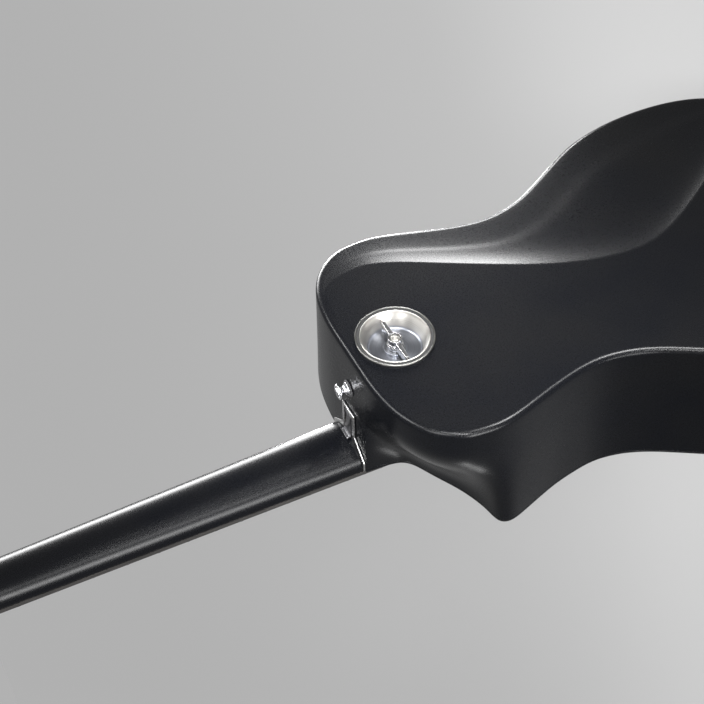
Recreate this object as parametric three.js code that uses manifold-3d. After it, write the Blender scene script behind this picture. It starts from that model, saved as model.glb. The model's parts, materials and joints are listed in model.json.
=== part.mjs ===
// Travel guitar with a moulded carbon body and a neck that lifts off.
// Millimetres. Z runs up the neck to the headstock, X to the treble side, and the back faces +Y.
// The origin is where a wall hanger carries the headstock; below, heights count from the heel wall.
import * as THREE from 'three';
import { mergeVertices } from 'three/addons/utils/BufferGeometryUtils.js';
import Module from 'manifold-3d';

const wasm = await Module();
wasm.setup();

// Clearances and cuts
const seatGap = 0.3;
const runGap = 0.3;
const cutOverrun = 3;
const weldTolerance = 1e-4;

// Body
const bodyLength = 500;
const bodyHalfWidth = 169;
const bodyDepth = 121;
const sideDraft = 9;
const shellThickness = 2.6;
const edgeRadius = 5;
const backFlatMargin = 9;
const liningWidth = 7;
const liningHeight = 6;
const soundboardThickness = 2.6;
const bevelDropHeel = 2.5;
const bevelDropTail = 13;
const scoopReach = 100;
const heelFadeShare = 0.08;

// Outline of the back from the heel corner round to the tail: shares of body length and half width
const backOutlineShares = [
  [0.000, 0.178], [0.002, 0.284], [0.012, 0.444], [0.040, 0.598], [0.084, 0.692], [0.116, 0.713],
  [0.146, 0.720], [0.176, 0.710], [0.212, 0.683], [0.288, 0.617], [0.364, 0.581], [0.442, 0.633],
  [0.518, 0.757], [0.600, 0.896], [0.690, 0.976], [0.780, 1.000], [0.860, 0.976], [0.924, 0.888],
  [0.968, 0.722], [0.992, 0.444], [1.000, 0.000],
];
// The same points on the front of the treble side, where the cutaway is carved
const cutawayShares = [
  [0.000, 0.178], [0.040, 0.186], [0.074, 0.219], [0.099, 0.355], [0.126, 0.497], [0.144, 0.639],
  [0.151, 0.746], [0.172, 0.775], [0.212, 0.740], [0.288, 0.666], [0.364, 0.633],
];
// The same points on the crease where the arm bevel leaves the flat back, on the bass side
const creaseShares = [
  [0.018, 0.178], [0.020, 0.272], [0.024, 0.420], [0.044, 0.485], [0.080, 0.515], [0.112, 0.521],
  [0.140, 0.500], [0.174, 0.456], [0.214, 0.391], [0.296, 0.254], [0.380, 0.124], [0.456, 0.036],
  [0.524, -0.006], [0.584, -0.006], [0.650, 0.065], [0.744, 0.231], [0.820, 0.402], [0.886, 0.574],
  [0.944, 0.615], [0.976, 0.426], [0.984, 0.000],
];
// How much of the bevel's full drop each of those points has
const bevelFadeShares = [
  0, 0.05, 0.2, 0.6, 0.9, 1, 1, 1, 1, 1, 1, 1, 1, 1, 1, 1, 0.95, 0.7, 0.3, 0.08, 0,
];
// Across the bevel: how far out, and how far down
const bevelAcrossShares = [[0.07, 0.20], [0.36, 0.46], [0.72, 0.64], [1, 1]];
const wallLevelShares = [0.08, 0.28, 0.5, 0.7, 0.87, 1];
const innerLevelShares = [0.8, 0.5, 0.2];
const stepsPerSpan = 2;
const edgeSteps = 2;

// Soundhole
const soundholeRadius = 46;
const soundholeGap = 0.85;
const soundholeSides = 32;
const ringWall = 2;
const ringLip = 3;
const ringLipThickness = 1;

// Braces and blocks
const braceWidth = 8;
const braceHeight = 11;
const braceTipHeight = 3;
const braceUpperRun = 124;
const braceLowerRun = 190;
const braceHoleGap = 2;
const bracePlateGap = 3;
const bracePeakShare = 0.2;
const bridgePlateHalfWidth = 42;
const bridgePlateLength = 30;
const bridgePlateThickness = 3;
const neckBlockHalfWidth = 26.5;
const neckBlockLength = 68;
const tailBlockHalfWidth = 34;
const tailBlockLength = 18;
const tailBlockBackGap = 13;
const tailBlockDepth = bodyDepth - tailBlockBackGap;
// The tail wall curves in towards its sides, so the flat block stands off by this much
const tailSag = 1.6;

// Scale, fretboard and frets
const scaleLength = 622;
const bodyFret = 14;
const fretCount = 20;
const fretboardThickness = 5.5;
const fretboardEndMargin = 7;
const widthAtNut = 44.5;
const widthAtBodyFret = 56;
const fretHeight = 1;
const fretHalfWidth = 1.2;
const fretCrownHalfWidth = 0.5;
const nutLength = 5;
const nutRise = 1.5;
const nutHeight = fretboardThickness + nutRise;
const fretDistance = (fret) => scaleLength * (1 - 2 ** (-fret / 12));
const nutZ = fretDistance(bodyFret);
const saddleZ = nutZ - scaleLength;
const fretboardEndZ = nutZ - fretDistance(fretCount) - fretboardEndMargin;
const soundholeDrop = soundholeRadius + ringLip + soundholeGap - fretboardEndZ;

// Neck and headstock
const neckThicknessHeel = 21.5;
const neckThicknessNut = 19;
const neckRoundness = 2.1;
const neckSteps = 12;
const headTilt = THREE.MathUtils.degToRad(13);
const headPivotGap = 1;
const headPivotZ = nutZ + nutLength + headPivotGap;
const headLength = 156;
const headThickness = 14.5;
const headHalfWidth = 35;
const headFlare = 26;
const headSquareness = 7;
const headBlendShare = 0.35;
const frontRound = 0.8;
const hangerRise = 12;
const hangerZ = headPivotZ + hangerRise;

// Tenon that carries the neck in the body
const heelPlateThickness = 1.8;
const neckEndZ = seatGap + heelPlateThickness + seatGap;
const tenonHalfWidth = 20;
const tenonDepth = 12;
const tenonLength = 62;
const tangHalfWidth = 8;
const tangLength = 40;

// Truss rod
const trussHalfWidth = 3;
const trussDepth = 9;
const trussLowEnd = 52;
const trussNutRadius = 3.2;
const trussNutLength = 11;
const hexSides = 6;
const trussPocketLength = 26;
const trussPocketHalfWidth = 7;
const trussPocketDepth = 10;
const trussCoverLength = 34;
const trussCoverHalfWidth = 11;
const trussCoverThickness = 1.8;
const coverShoulderShare = 0.6;
const coverTipShare = 0.35;

// Lock: cup, key, bolt and threaded insert on one axis square to the back
const lockDrop = 43;
const cupFlangeRadius = 33.3;
const cupMouthRadius = 28.5;
const cupFloorRadius = 21;
const cupDepth = 13;
const cupWall = 1.1;
const cupFlangeThickness = 0.7;
const cupLipHeight = 1.6;
const cupLipWidth = 1.3;
const cupSides = 32;
const lockSides = 18;
const gasketHeight = 0.5;
const boltRadius = 4;
const boltTipInset = 2;
const washerRadius = 9.5;
const washerThickness = 1;
const insertWall = 2;
const insertInset = 1;
const keyHubRadius = 7;
const keyHubRecessRadius = 4.9;
const keyHubRecessDepth = 3;
const keyTopInset = 0.5;
const keySpan = 45.5;
const keyBladeHeight = 7.5;
const keyBladeHalfWidth = 3;
const keyBladeTipHalfWidth = 2.2;
const keyBladeTopInset = 2;
const keyScrewHeadHeight = 2;
const keyScrewGap = 0.35;
// How much of a blade's height its lower corner is cut away, to clear the cup
const keyTipSlopeShare = 0.4;

// Heel plate and the sprung latch in its window
const tabHalfWidth = 11;
const tabTop = 54;
const tabShoulder = 27;
const plateFoot = 2;
const plateMargin = 1.5;
// Height at which the plate's feet start to lean in, as a share of the neck's thickness
const plateEaseShare = 0.55;
const windowHalfWidth = 7.5;
const windowLow = neckThicknessHeel;
const windowHigh = 50.5;
const latchPocketDepth = 9.5;
const latchPinY = 40;
const latchPinDepth = 5;
const latchPinRadius = 1.3;
const latchPinSeat = 3;
const latchHalfWidth = 6;
const latchHubRadius = 2.7;
const latchArm = 1.8;
const latchNoseReach = 4;
// The nose is thicker than the arm by this
const noseRiseShare = 1.3;
const padClearance = 1.5;
const padBackZ = -2.2;
const springRadius = 2.1;
const springWire = 0.3;
const springTurns = 4;
const springY = 46.2;
const springSteps = 8;
const springSides = 5;

// Strap buttons
const strapButtonY = 79.5;
const strapButtonRadius = 7.2;
const strapWaistRadius = 3.4;
const strapButtonLength = 10.5;
const strapFlange = 1.8;
const strapBaseRadius = 6.4;
const feltRadius = 7.6;
const feltThickness = 1.2;
const strapSides = 16;
const tailButtonY = 60;

// Bridge, saddle and pins
const bridgeHalfSpan = 76;
const bridgeHalfLength = 15;
const bridgeHeight = 8.2;
const bridgeWingHeight = 3.6;
const bridgeBellyHalfSpan = 44;
const saddleHalfSpan = 36;
const saddleHalfThickness = 1.4;
const saddleSlotDepth = 4.5;
const saddleSlant = THREE.MathUtils.degToRad(2.5);
const saddleOffset = 5;
const pinSetback = 10;
const pinHoleRadius = 2.7;
const pinHeadRadius = 3.5;
const pinHeadHeight = 3;
const pinLength = 14;
const pinTipRadius = 1.9;
const pinSides = 10;
const stringOffsetInPin = 1.5;

// Strings, from bass to treble
const bassStringRadius = 0.67;
const stringRadiusShares = [1, 0.79, 0.61, 0.46, 0.31, 0.24];
const stringRadii = stringRadiusShares.map((share) => share * bassStringRadius);
const stringSpreadNut = 36.5;
const stringSpreadSaddle = 54;
const actionAtNut = 0.4;
const actionAtMiddle = 2.3;
const stringHoleDepth = 3;
const windingTurns = 2;
const windingSteps = 24;
const windingSides = 6;
const windingSpace = 0.5;
const leastWoundRadius = 0.25;

// Tuners: three a side, square to the headstock face
const tunerFirst = 40;
const tunerPitch = 38;
const tunerEdge = 15;
const postRadius = 3;
const postHeight = 13;
const postWaistRadius = 2.6;
const postCapRadius = 3.2;
const postBoreDepth = 5;
const postSides = 12;
// Places along the free length of a post, from the headstock outward
const postShoulderShare = 0.28;
const postWaistShare = 0.34;
const postNeckShare = 0.84;
const postCapShare = 0.88;
const sleeveWall = 1.3;
const tunerSides = 12;
const bushingRadius = 6.4;
const bushingHeight = 2;
const caseHalfWidth = 7;
const caseHalfLength = 9;
const caseDepth = 11;
const caseCorner = 3;
const cornerSteps = 2;
const knobShaftRadius = 2;
const knobShaftDepth = 7.2;
const knobBoreInset = 4;
const knobStandoff = 9.5;
const knobLength = 12;
const knobHalfHeight = 9;
const knobHalfThickness = 3.6;
const knobWaistShare = 0.62;
const knobSteps = 12;

// Finishes
const finish = (color, roughness, metalness) => ({ color, roughness, metalness });
const satinCarbon = finish(0x16171a, 0.42, 0.0);
const composite = finish(0x121212, 0.55, 0.0);
const wood = finish(0x6b4a2c, 0.7, 0.0);
const steel = finish(0xb9bbbd, 0.25, 1.0);
const chrome = finish(0xd5d8dc, 0.12, 1.0);
const brass = finish(0xb08d4a, 0.35, 1.0);
const bone = finish(0xe9e4d4, 0.4, 0.0);
const rubber = finish(0x0b0b0b, 0.8, 0.0);
const feltBlack = finish(0x1b1b1b, 0.95, 0.0);
const bronze = finish(0xa9824f, 0.35, 1.0);
const plainSteel = finish(0xc9ccd0, 0.2, 1.0);

// Geometry helpers

// Welds a geometry to bare positions, drops empty triangles and turns its faces outward
function closed(geometry) {
  const bare = geometry.index ? geometry.toNonIndexed() : geometry.clone();
  bare.deleteAttribute('normal');
  bare.deleteAttribute('uv');
  bare.clearGroups();
  const welded = mergeVertices(bare, weldTolerance);
  const position = welded.getAttribute('position');
  const kept = [];
  let volume = 0;
  const a = new THREE.Vector3();
  const b = new THREE.Vector3();
  const c = new THREE.Vector3();
  for (let i = 0; i < welded.index.count; i += 3) {
    const corner = [welded.index.getX(i), welded.index.getX(i + 1), welded.index.getX(i + 2)];
    if (corner[0] === corner[1] || corner[1] === corner[2] || corner[0] === corner[2]) continue;
    kept.push(...corner);
    a.fromBufferAttribute(position, corner[0]);
    b.fromBufferAttribute(position, corner[1]);
    c.fromBufferAttribute(position, corner[2]);
    volume += a.dot(b.cross(c));
  }
  if (volume < 0) kept.reverse();
  welded.setIndex(kept);
  return welded;
}

function toSolid(geometry) {
  const welded = closed(geometry);
  const vertProperties = new Float32Array(welded.getAttribute('position').array);
  const triVerts = new Uint32Array(welded.index.array);
  return new wasm.Manifold(new wasm.Mesh({ numProp: 3, vertProperties, triVerts }));
}

function fromSolid(solid) {
  const mesh = solid.getMesh();
  const geometry = new THREE.BufferGeometry();
  geometry.setAttribute('position', new THREE.BufferAttribute(new Float32Array(mesh.vertProperties), 3));
  geometry.setIndex(Array.from(mesh.triVerts));
  return geometry;
}

function cut(geometry, ...tools) {
  return fromSolid(tools.reduce((solid, tool) => solid.subtract(toSolid(tool)), toSolid(geometry)));
}

function join(geometry, ...others) {
  return fromSolid(others.reduce((solid, other) => solid.add(toSolid(other)), toSolid(geometry)));
}

// An outline extruded from low to high; place turns outline and height into x, y, z
function prism(outline, low, high, place, holes = []) {
  const shape = new THREE.Shape(outline.map(([u, v]) => new THREE.Vector2(u, v)));
  for (const hole of holes) shape.holes.push(new THREE.Path(hole.map(([u, v]) => new THREE.Vector2(u, v))));
  const geometry = new THREE.ExtrudeGeometry(shape, { depth: high - low, bevelEnabled: false, steps: 1 });
  const position = geometry.getAttribute('position');
  for (let i = 0; i < position.count; i += 1) {
    position.setXYZ(i, ...place(position.getX(i), position.getY(i), low + position.getZ(i)));
  }
  return closed(geometry);
}

const alongY = (u, v, height) => [u, height, v];
const alongX = (u, v, height) => [height, u, v];
const alongZ = (u, v, height) => [u, v, height];

function box(x0, x1, y0, y1, z0, z1) {
  const geometry = new THREE.BoxGeometry(x1 - x0, y1 - y0, z1 - z0);
  return closed(geometry.translate((x0 + x1) / 2, (y0 + y1) / 2, (z0 + z1) / 2));
}

// A profile of [radius, height] turned about Y; a ring's profile closes on itself
function turned(profile, sides) {
  return closed(new THREE.LatheGeometry(profile.map(([r, h]) => new THREE.Vector2(r, h)), sides));
}

function ringProfile(profile) {
  return [...profile, profile[0]];
}

function rod(radius, low, high, sides) {
  return turned([[0, low], [radius, low], [radius, high], [0, high]], sides);
}

function circle(radius, centreU, centreV, sides) {
  const points = [];
  for (let i = 0; i < sides; i += 1) {
    const angle = (2 * Math.PI * i) / sides;
    points.push([centreU + radius * Math.cos(angle), centreV + radius * Math.sin(angle)]);
  }
  return points;
}

// Triangles over a flat ring, wound with the ring or against it
function capFaces(ring, first, flatten, withRing) {
  const contour = ring.map((p) => flatten(p));
  const ringSign = Math.sign(THREE.ShapeUtils.area(contour));
  return THREE.ShapeUtils.triangulateShape(contour, []).flatMap(([a, b, c]) => {
    const sign = Math.sign(THREE.ShapeUtils.area([contour[a], contour[b], contour[c]]));
    const order = (sign === ringSign) === withRing ? [a, b, c] : [a, c, b];
    return order.map((corner) => first + corner);
  });
}

// Skins a row of rings that all have the same number of points, and closes both ends
function skinned(rings, flatten) {
  const count = rings[0].length;
  const vertices = rings.flat().flatMap((p) => [p.x, p.y, p.z]);
  const faces = [];
  for (let r = 0; r + 1 < rings.length; r += 1) {
    for (let i = 0; i < count; i += 1) {
      const next = (i + 1) % count;
      const here = r * count;
      const there = here + count;
      faces.push(here + i, here + next, there + i);
      faces.push(here + next, there + next, there + i);
    }
  }
  faces.push(...capFaces(rings[0], 0, flatten, false));
  faces.push(...capFaces(rings[rings.length - 1], (rings.length - 1) * count, flatten, true));
  const geometry = new THREE.BufferGeometry();
  geometry.setAttribute('position', new THREE.BufferAttribute(new Float32Array(vertices), 3));
  geometry.setIndex(faces);
  return closed(geometry);
}

// A round wire along a list of points, with its section carried along without twist
function wire(points, radius, sides) {
  const rings = [];
  const normal = new THREE.Vector3();
  for (let i = 0; i < points.length; i += 1) {
    const back = points[Math.max(i - 1, 0)];
    const ahead = points[Math.min(i + 1, points.length - 1)];
    const tangent = ahead.clone().sub(back).normalize();
    if (i === 0) {
      normal.set(1, 0, 0);
      if (Math.abs(tangent.x) > Math.abs(tangent.z)) normal.set(0, 1, 0);
    }
    normal.addScaledVector(tangent, -normal.dot(tangent)).normalize();
    const side = tangent.clone().cross(normal);
    const ring = [];
    for (let s = 0; s < sides; s += 1) {
      const angle = (2 * Math.PI * s) / sides;
      const offset = normal.clone().multiplyScalar(Math.cos(angle) * radius);
      offset.addScaledVector(side, Math.sin(angle) * radius);
      ring.push(points[i].clone().add(offset));
    }
    rings.push(ring);
  }
  return endCapped(rings);
}

// Skins rings of a wire, whose ends are closed by fans
function endCapped(rings) {
  const count = rings[0].length;
  const vertices = rings.flat().flatMap((p) => [p.x, p.y, p.z]);
  const faces = [];
  for (let r = 0; r + 1 < rings.length; r += 1) {
    for (let i = 0; i < count; i += 1) {
      const next = (i + 1) % count;
      faces.push(r * count + i, r * count + next, (r + 1) * count + i);
      faces.push(r * count + next, (r + 1) * count + next, (r + 1) * count + i);
    }
  }
  const last = (rings.length - 1) * count;
  for (let i = 1; i + 1 < count; i += 1) {
    faces.push(0, i + 1, i);
    faces.push(last, last + i, last + i + 1);
  }
  const geometry = new THREE.BufferGeometry();
  geometry.setAttribute('position', new THREE.BufferAttribute(new Float32Array(vertices), 3));
  geometry.setIndex(faces);
  return closed(geometry);
}

const smooth = (t) => {
  const s = THREE.MathUtils.clamp(t, 0, 1);
  return s * s * (3 - 2 * s);
};

const mix = (a, b, t) => a + (b - a) * t;

// Least distance between parts of one wire that are more than a turn's share apart
function leastSelfGap(points, radius, skip) {
  let least = Infinity;
  for (let i = 0; i < points.length; i += 1) {
    for (let j = i + skip; j < points.length; j += 1) {
      least = Math.min(least, points[i].distanceTo(points[j]));
    }
  }
  return least - 2 * radius;
}

// Body outline

// A smooth open curve through table points, sampled evenly between them
function throughPoints(points, steps) {
  const curve = new THREE.SplineCurve(points.map(([z, x]) => new THREE.Vector2(z, x)));
  const spans = points.length - 1;
  const sampled = [];
  for (let i = 0; i <= spans * steps; i += 1) sampled.push(curve.getPoint(i / (spans * steps)));
  return sampled;
}

const toBody = (shares) => shares.map(([z, x]) => [-z * bodyLength, x * bodyHalfWidth]);
const halfBack = throughPoints(toBody(backOutlineShares), stepsPerSpan);
const halfCut = throughPoints(toBody(cutawayShares), stepsPerSpan);
const halfCrease = throughPoints(toBody(creaseShares), stepsPerSpan);
const halfCount = halfBack.length;
const ringCount = 2 * halfCount - 1;

// Ring order: treble heel corner, treble side, tail, bass side, bass heel corner
const halfIndex = (i) => (i < halfCount ? i : ringCount - 1 - i);
const isBass = (i) => i >= halfCount;
const sideSign = (i) => (isBass(i) ? -1 : 1);

function backPoint(i) {
  const p = halfBack[halfIndex(i)];
  return new THREE.Vector2(p.x, p.y * sideSign(i));
}

// Outward direction in plan, as (z, x); it is square to the body axis at the heel and the tail
function outwardAt(i) {
  const before = backPoint(Math.max(i - 1, 0));
  const after = backPoint(Math.min(i + 1, ringCount - 1));
  const along = after.sub(before).normalize();
  return new THREE.Vector2(along.y, -along.x);
}

const heelFade = (i) => smooth(-backPoint(i).x / (bodyLength * heelFadeShare));

// Plan position of outline point i at a given height above the front, as (z, x)
function outlineAt(i, y) {
  const rise = y / bodyDepth;
  const point = backPoint(i).addScaledVector(outwardAt(i), sideDraft * (1 - rise) * heelFade(i));
  const half = halfIndex(i);
  if (!isBass(i) && half < halfCut.length) {
    const plainFront = backPoint(i).addScaledVector(outwardAt(i), sideDraft * heelFade(i));
    const carved = halfCut[half].clone().sub(plainFront);
    point.addScaledVector(carved, 1 - smooth(y / scoopReach));
  }
  return point;
}

function shareBetween(table, i) {
  const place = halfIndex(i) / stepsPerSpan;
  const low = Math.min(Math.floor(place), table.length - 2);
  return mix(table[low], table[low + 1], place - low);
}

function bevelDrop(i) {
  if (!isBass(i)) return 0;
  const along = -backPoint(i).x / bodyLength;
  return mix(bevelDropHeel, bevelDropTail, along) * shareBetween(bevelFadeShares, i);
}

// Point i on the edge of the flat of the back
function flatEdge(i) {
  if (isBass(i)) {
    const p = halfCrease[halfIndex(i)];
    return new THREE.Vector2(p.x, -p.y);
  }
  return backPoint(i).addScaledVector(outwardAt(i), -backFlatMargin);
}

// One ring of the body; each level is a function of the point's number
function bodyRing(level) {
  const ring = [];
  for (let i = 0; i < ringCount; i += 1) {
    const { plan, y } = level(i);
    ring.push(new THREE.Vector3(plan.y, y, plan.x));
  }
  return ring;
}

// Rings over the back and round its edge, inset by the wall for the inside
function backRings(inset) {
  const rings = [bodyRing((i) => ({ plan: flatEdge(i), y: bodyDepth - inset }))];
  const innerOutline = (i, y) => outlineAt(i, y).addScaledVector(outwardAt(i), -inset);
  for (const [across, down] of bevelAcrossShares) {
    rings.push(bodyRing((i) => {
      const y = bodyDepth - bevelDrop(i) * down;
      const edge = innerOutline(i, y).addScaledVector(outwardAt(i), inset - edgeRadius);
      return { plan: flatEdge(i).lerp(edge, across), y: y - inset };
    }));
  }
  for (let s = 1; s <= edgeSteps; s += 1) {
    const angle = (Math.PI / 2) * (s / edgeSteps);
    rings.push(bodyRing((i) => {
      const y = bodyDepth - bevelDrop(i) - edgeRadius * (1 - Math.cos(angle));
      const reach = edgeRadius * (1 - Math.sin(angle)) + inset * Math.sin(angle);
      const plan = outlineAt(i, y).addScaledVector(outwardAt(i), -reach);
      return { plan, y: y - inset * Math.cos(angle) };
    }));
  }
  return rings;
}

function wallRing(share, inset) {
  const front = soundboardThickness + seatGap;
  return bodyRing((i) => {
    const top = bodyDepth - bevelDrop(i) - edgeRadius;
    const y = mix(top, front, share);
    return { plan: outlineAt(i, y).addScaledVector(outwardAt(i), -inset), y };
  });
}

// Body shell: back and sides moulded in one, with a lining round the open front
function bodyShell() {
  const rings = backRings(0);
  for (const share of wallLevelShares) rings.push(wallRing(share, 0));
  const front = soundboardThickness + seatGap;
  const liningRing = (y, width) => bodyRing((i) => ({
    plan: outlineAt(i, y).addScaledVector(outwardAt(i), -mix(shellThickness, width, heelFade(i))),
    y,
  }));
  rings.push(liningRing(front, liningWidth));
  rings.push(liningRing(front + liningHeight, shellThickness));
  for (const share of innerLevelShares) rings.push(wallRing(share, shellThickness));
  rings.push(...backRings(shellThickness).reverse());
  const shell = skinned(rings, (p) => new THREE.Vector2(p.x, p.z));
  return cut(
    shell,
    rod(cupMouthRadius + cupWall + seatGap, bodyDepth - edgeRadius * 2, bodyDepth + cutOverrun, cupSides)
      .translate(0, 0, -lockDrop),
    tenonSpace(-shellThickness * 2, cutOverrun),
    latchSpace(cutOverrun),
  );
}

// Space that the tenon needs, between two heights along the body
function tenonSpace(lowZ, highZ) {
  const half = tenonHalfWidth + runGap;
  return box(-half, half, -cutOverrun, tenonDepth + runGap * 2, lowZ, highZ);
}

function latchSpace(highZ) {
  return box(-windowHalfWidth, windowHalfWidth, windowLow, windowHigh, -latchPocketDepth, highZ);
}

function frontOutline() {
  const points = [];
  for (let i = 0; i < ringCount; i += 1) {
    const p = outlineAt(i, soundboardThickness);
    points.push([p.y, p.x]);
  }
  return points;
}

function soundboard() {
  const half = tenonHalfWidth + runGap;
  const low = -tenonLength - runGap;
  const notch = [[-half, 0], [-half, low], [half, low], [half, 0]];
  const hole = circle(soundholeRadius, 0, -soundholeDrop, soundholeSides);
  const holesForPins = stringRadii.map((_, n) => circle(pinHoleRadius, pinX(n), pinLineZ, pinSides));
  return prism([...frontOutline(), ...notch], 0, soundboardThickness, alongY, [hole, ...holesForPins]);
}

// Ring that lines the soundhole, with a lip on the front
function soundholeRing() {
  const outer = soundholeRadius - seatGap;
  const inner = outer - ringWall;
  const lip = soundholeRadius + ringLip;
  return turned(ringProfile([
    [inner, -seatGap - ringLipThickness], [lip, -seatGap - ringLipThickness], [lip, -seatGap],
    [outer, -seatGap], [outer, soundboardThickness], [inner, soundboardThickness],
  ]), soundholeSides).translate(0, 0, -soundholeDrop);
}

// Braces

// One bar with tapered ends, lying along Z before it is turned
function braceBar(up, down) {
  const peak = braceHeight;
  const tip = braceTipHeight;
  const profile = [
    [0, -down], [tip, -down], [peak, -down * bracePeakShare - braceWidth], [peak, up * bracePeakShare],
    [tip, up], [0, up],
  ];
  return prism(profile, -braceWidth / 2, braceWidth / 2, alongX);
}

// The bars cross below the soundhole, at the angle that clears both it and the bridge plate
function xBrace() {
  const holeReach = soundholeRadius + braceWidth / 2 + braceHoleGap;
  const plateReach = braceWidth / 2 + bracePlateGap;
  const down = bridgePlateLow() - bridgePlateLength - soundholeDrop;
  const diagonal = Math.hypot(down, bridgePlateHalfWidth);
  const angle = Math.atan2(bridgePlateHalfWidth, down) + Math.asin((holeReach + plateReach) / diagonal);
  const crossing = soundholeDrop + holeReach / Math.sin(angle);
  const bars = [angle, -angle].map((turn) => braceBar(braceUpperRun, braceLowerRun).rotateY(turn));
  return join(bars[0], bars[1]).translate(0, soundboardThickness + seatGap, -crossing);
}

const bridgePlateLow = () => bridgePlateLength / 2 - pinLineZ;

function bridgePlate() {
  const low = soundboardThickness + seatGap;
  return cut(
    box(
      -bridgePlateHalfWidth, bridgePlateHalfWidth, low, low + bridgePlateThickness,
      -bridgePlateLow(), bridgePlateLength - bridgePlateLow(),
    ),
    ...pinHoles(),
  );
}

function neckBlock() {
  const low = soundboardThickness + seatGap;
  const high = bodyDepth - cupDepth - cupWall - seatGap;
  const near = -shellThickness - seatGap;
  return cut(
    box(-neckBlockHalfWidth, neckBlockHalfWidth, low, high, near - neckBlockLength, near),
    tenonSpace(-tenonLength - runGap, cutOverrun),
    latchSpace(cutOverrun),
    rod(boltRadius + runGap, 0, bodyDepth, lockSides).translate(0, 0, -lockDrop),
    latchPinBar(latchPinRadius + seatGap, windowHalfWidth + latchPinSeat + seatGap),
  );
}

function tailBlock() {
  const tail = halfCount - 1;
  const inner = (y) => outlineAt(tail, y).x + shellThickness + seatGap + tailSag;
  const low = soundboardThickness + seatGap + liningHeight;
  const profile = [
    [low, inner(low)], [tailBlockDepth, inner(tailBlockDepth)],
    [tailBlockDepth, inner(tailBlockDepth) + tailBlockLength], [low, inner(low) + tailBlockLength],
  ];
  return prism(profile, -tailBlockHalfWidth, tailBlockHalfWidth, alongX);
}

// Lock

const lockCentre = (geometry) => geometry.translate(0, 0, -lockDrop);
const cupFloorY = bodyDepth - cupDepth;

function keyCup() {
  const seat = bodyDepth + seatGap;
  const flangeTop = seat + cupFlangeThickness;
  const lipTop = seat + cupLipHeight;
  const bore = boltRadius + runGap;
  return lockCentre(turned(ringProfile([
    [bore, cupFloorY - cupWall], [cupFloorRadius + cupWall, cupFloorY - cupWall],
    [cupMouthRadius + cupWall, seat - cupWall], [cupMouthRadius + cupWall, seat],
    [cupFlangeRadius, seat],
    [cupFlangeRadius, lipTop - cupLipWidth / 2], [cupFlangeRadius - cupLipWidth / 2, lipTop],
    [cupFlangeRadius - cupLipWidth, flangeTop], [cupMouthRadius + cupLipWidth, flangeTop],
    [cupMouthRadius + cupLipWidth / 2, lipTop], [cupMouthRadius, lipTop - cupLipWidth / 2],
    [cupFloorRadius, cupFloorY], [bore, cupFloorY],
  ]), cupSides));
}

function cupGasket() {
  const low = bodyDepth + seatGap + cupFlangeThickness + seatGap;
  const inner = cupMouthRadius + cupLipWidth + seatGap * 2;
  const outer = cupFlangeRadius - cupLipWidth - seatGap * 2;
  return lockCentre(turned(ringProfile([
    [inner, low], [outer, low], [outer, low + gasketHeight], [inner, low + gasketHeight],
  ]), cupSides));
}

const washerLow = cupFloorY + seatGap;
const hubLow = washerLow + washerThickness + seatGap;
const hubHigh = bodyDepth - keyTopInset;
const boltTop = hubHigh - keyHubRecessDepth;

function thrustWasher() {
  return lockCentre(turned(ringProfile([
    [boltRadius + runGap, washerLow], [washerRadius, washerLow],
    [washerRadius, washerLow + washerThickness], [boltRadius + runGap, washerLow + washerThickness],
  ]), lockSides));
}

function lockBolt() {
  return lockCentre(turned([
    [0, boltTipInset], [boltRadius - runGap, boltTipInset], [boltRadius, boltTipInset + runGap * 2],
    [boltRadius, boltTop], [0, boltTop],
  ], lockSides));
}

// Hub with two blades that fingers turn
function lockKey() {
  const hub = turned(ringProfile([
    [boltRadius + runGap, hubLow], [keyHubRadius, hubLow], [keyHubRadius, hubHigh - runGap * 2],
    [keyHubRadius - runGap * 2, hubHigh], [keyHubRecessRadius, hubHigh], [keyHubRecessRadius, boltTop],
    [boltRadius + runGap, boltTop],
  ]), lockSides);
  const top = bodyDepth - keyBladeTopInset;
  const low = top - keyBladeHeight;
  const reach = keySpan / 2;
  const root = (boltRadius + keyHubRadius) / 2 + runGap;
  const blades = [1, -1].map((side) => {
    const outline = [
      [side * root, -keyBladeHalfWidth], [side * reach, -keyBladeTipHalfWidth],
      [side * reach, keyBladeTipHalfWidth], [side * root, keyBladeHalfWidth],
    ];
    const blade = prism(outline, low, top, alongY);
    const slope = keyBladeHeight * keyTipSlopeShare;
    const under = prism([
      [low - cutOverrun, reach - slope], [low - cutOverrun, reach + cutOverrun],
      [low + slope, reach + cutOverrun], [low + slope, reach], [low, reach - slope],
    ], -keyBladeHalfWidth * 2, keyBladeHalfWidth * 2, (u, v, height) => [v * side, u, height]);
    return cut(blade, under);
  });
  return lockCentre(join(hub, ...blades));
}

function keyScrew() {
  return lockCentre(rod(
    keyHubRecessRadius - keyScrewGap, boltTop + seatGap, boltTop + seatGap + keyScrewHeadHeight, lockSides,
  ));
}

function neckTenon() {
  const outline = [
    [-tenonHalfWidth, -tenonLength], [tenonHalfWidth, -tenonLength], [tenonHalfWidth, neckEndZ - seatGap],
    [tangHalfWidth, neckEndZ - seatGap], [tangHalfWidth, tangLength], [-tangHalfWidth, tangLength],
    [-tangHalfWidth, neckEndZ - seatGap], [-tenonHalfWidth, neckEndZ - seatGap],
  ];
  const bore = circle(boltRadius + insertWall + seatGap * 2, 0, -lockDrop, lockSides);
  return prism(outline, seatGap, tenonDepth, alongY, [bore]);
}

function threadedInsert() {
  const inner = boltRadius + runGap;
  const outer = inner + insertWall;
  return lockCentre(turned(ringProfile([
    [inner, insertInset], [outer, insertInset], [outer, tenonDepth - seatGap], [inner, tenonDepth - seatGap],
  ]), lockSides));
}

// Heel plate and latch

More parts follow.
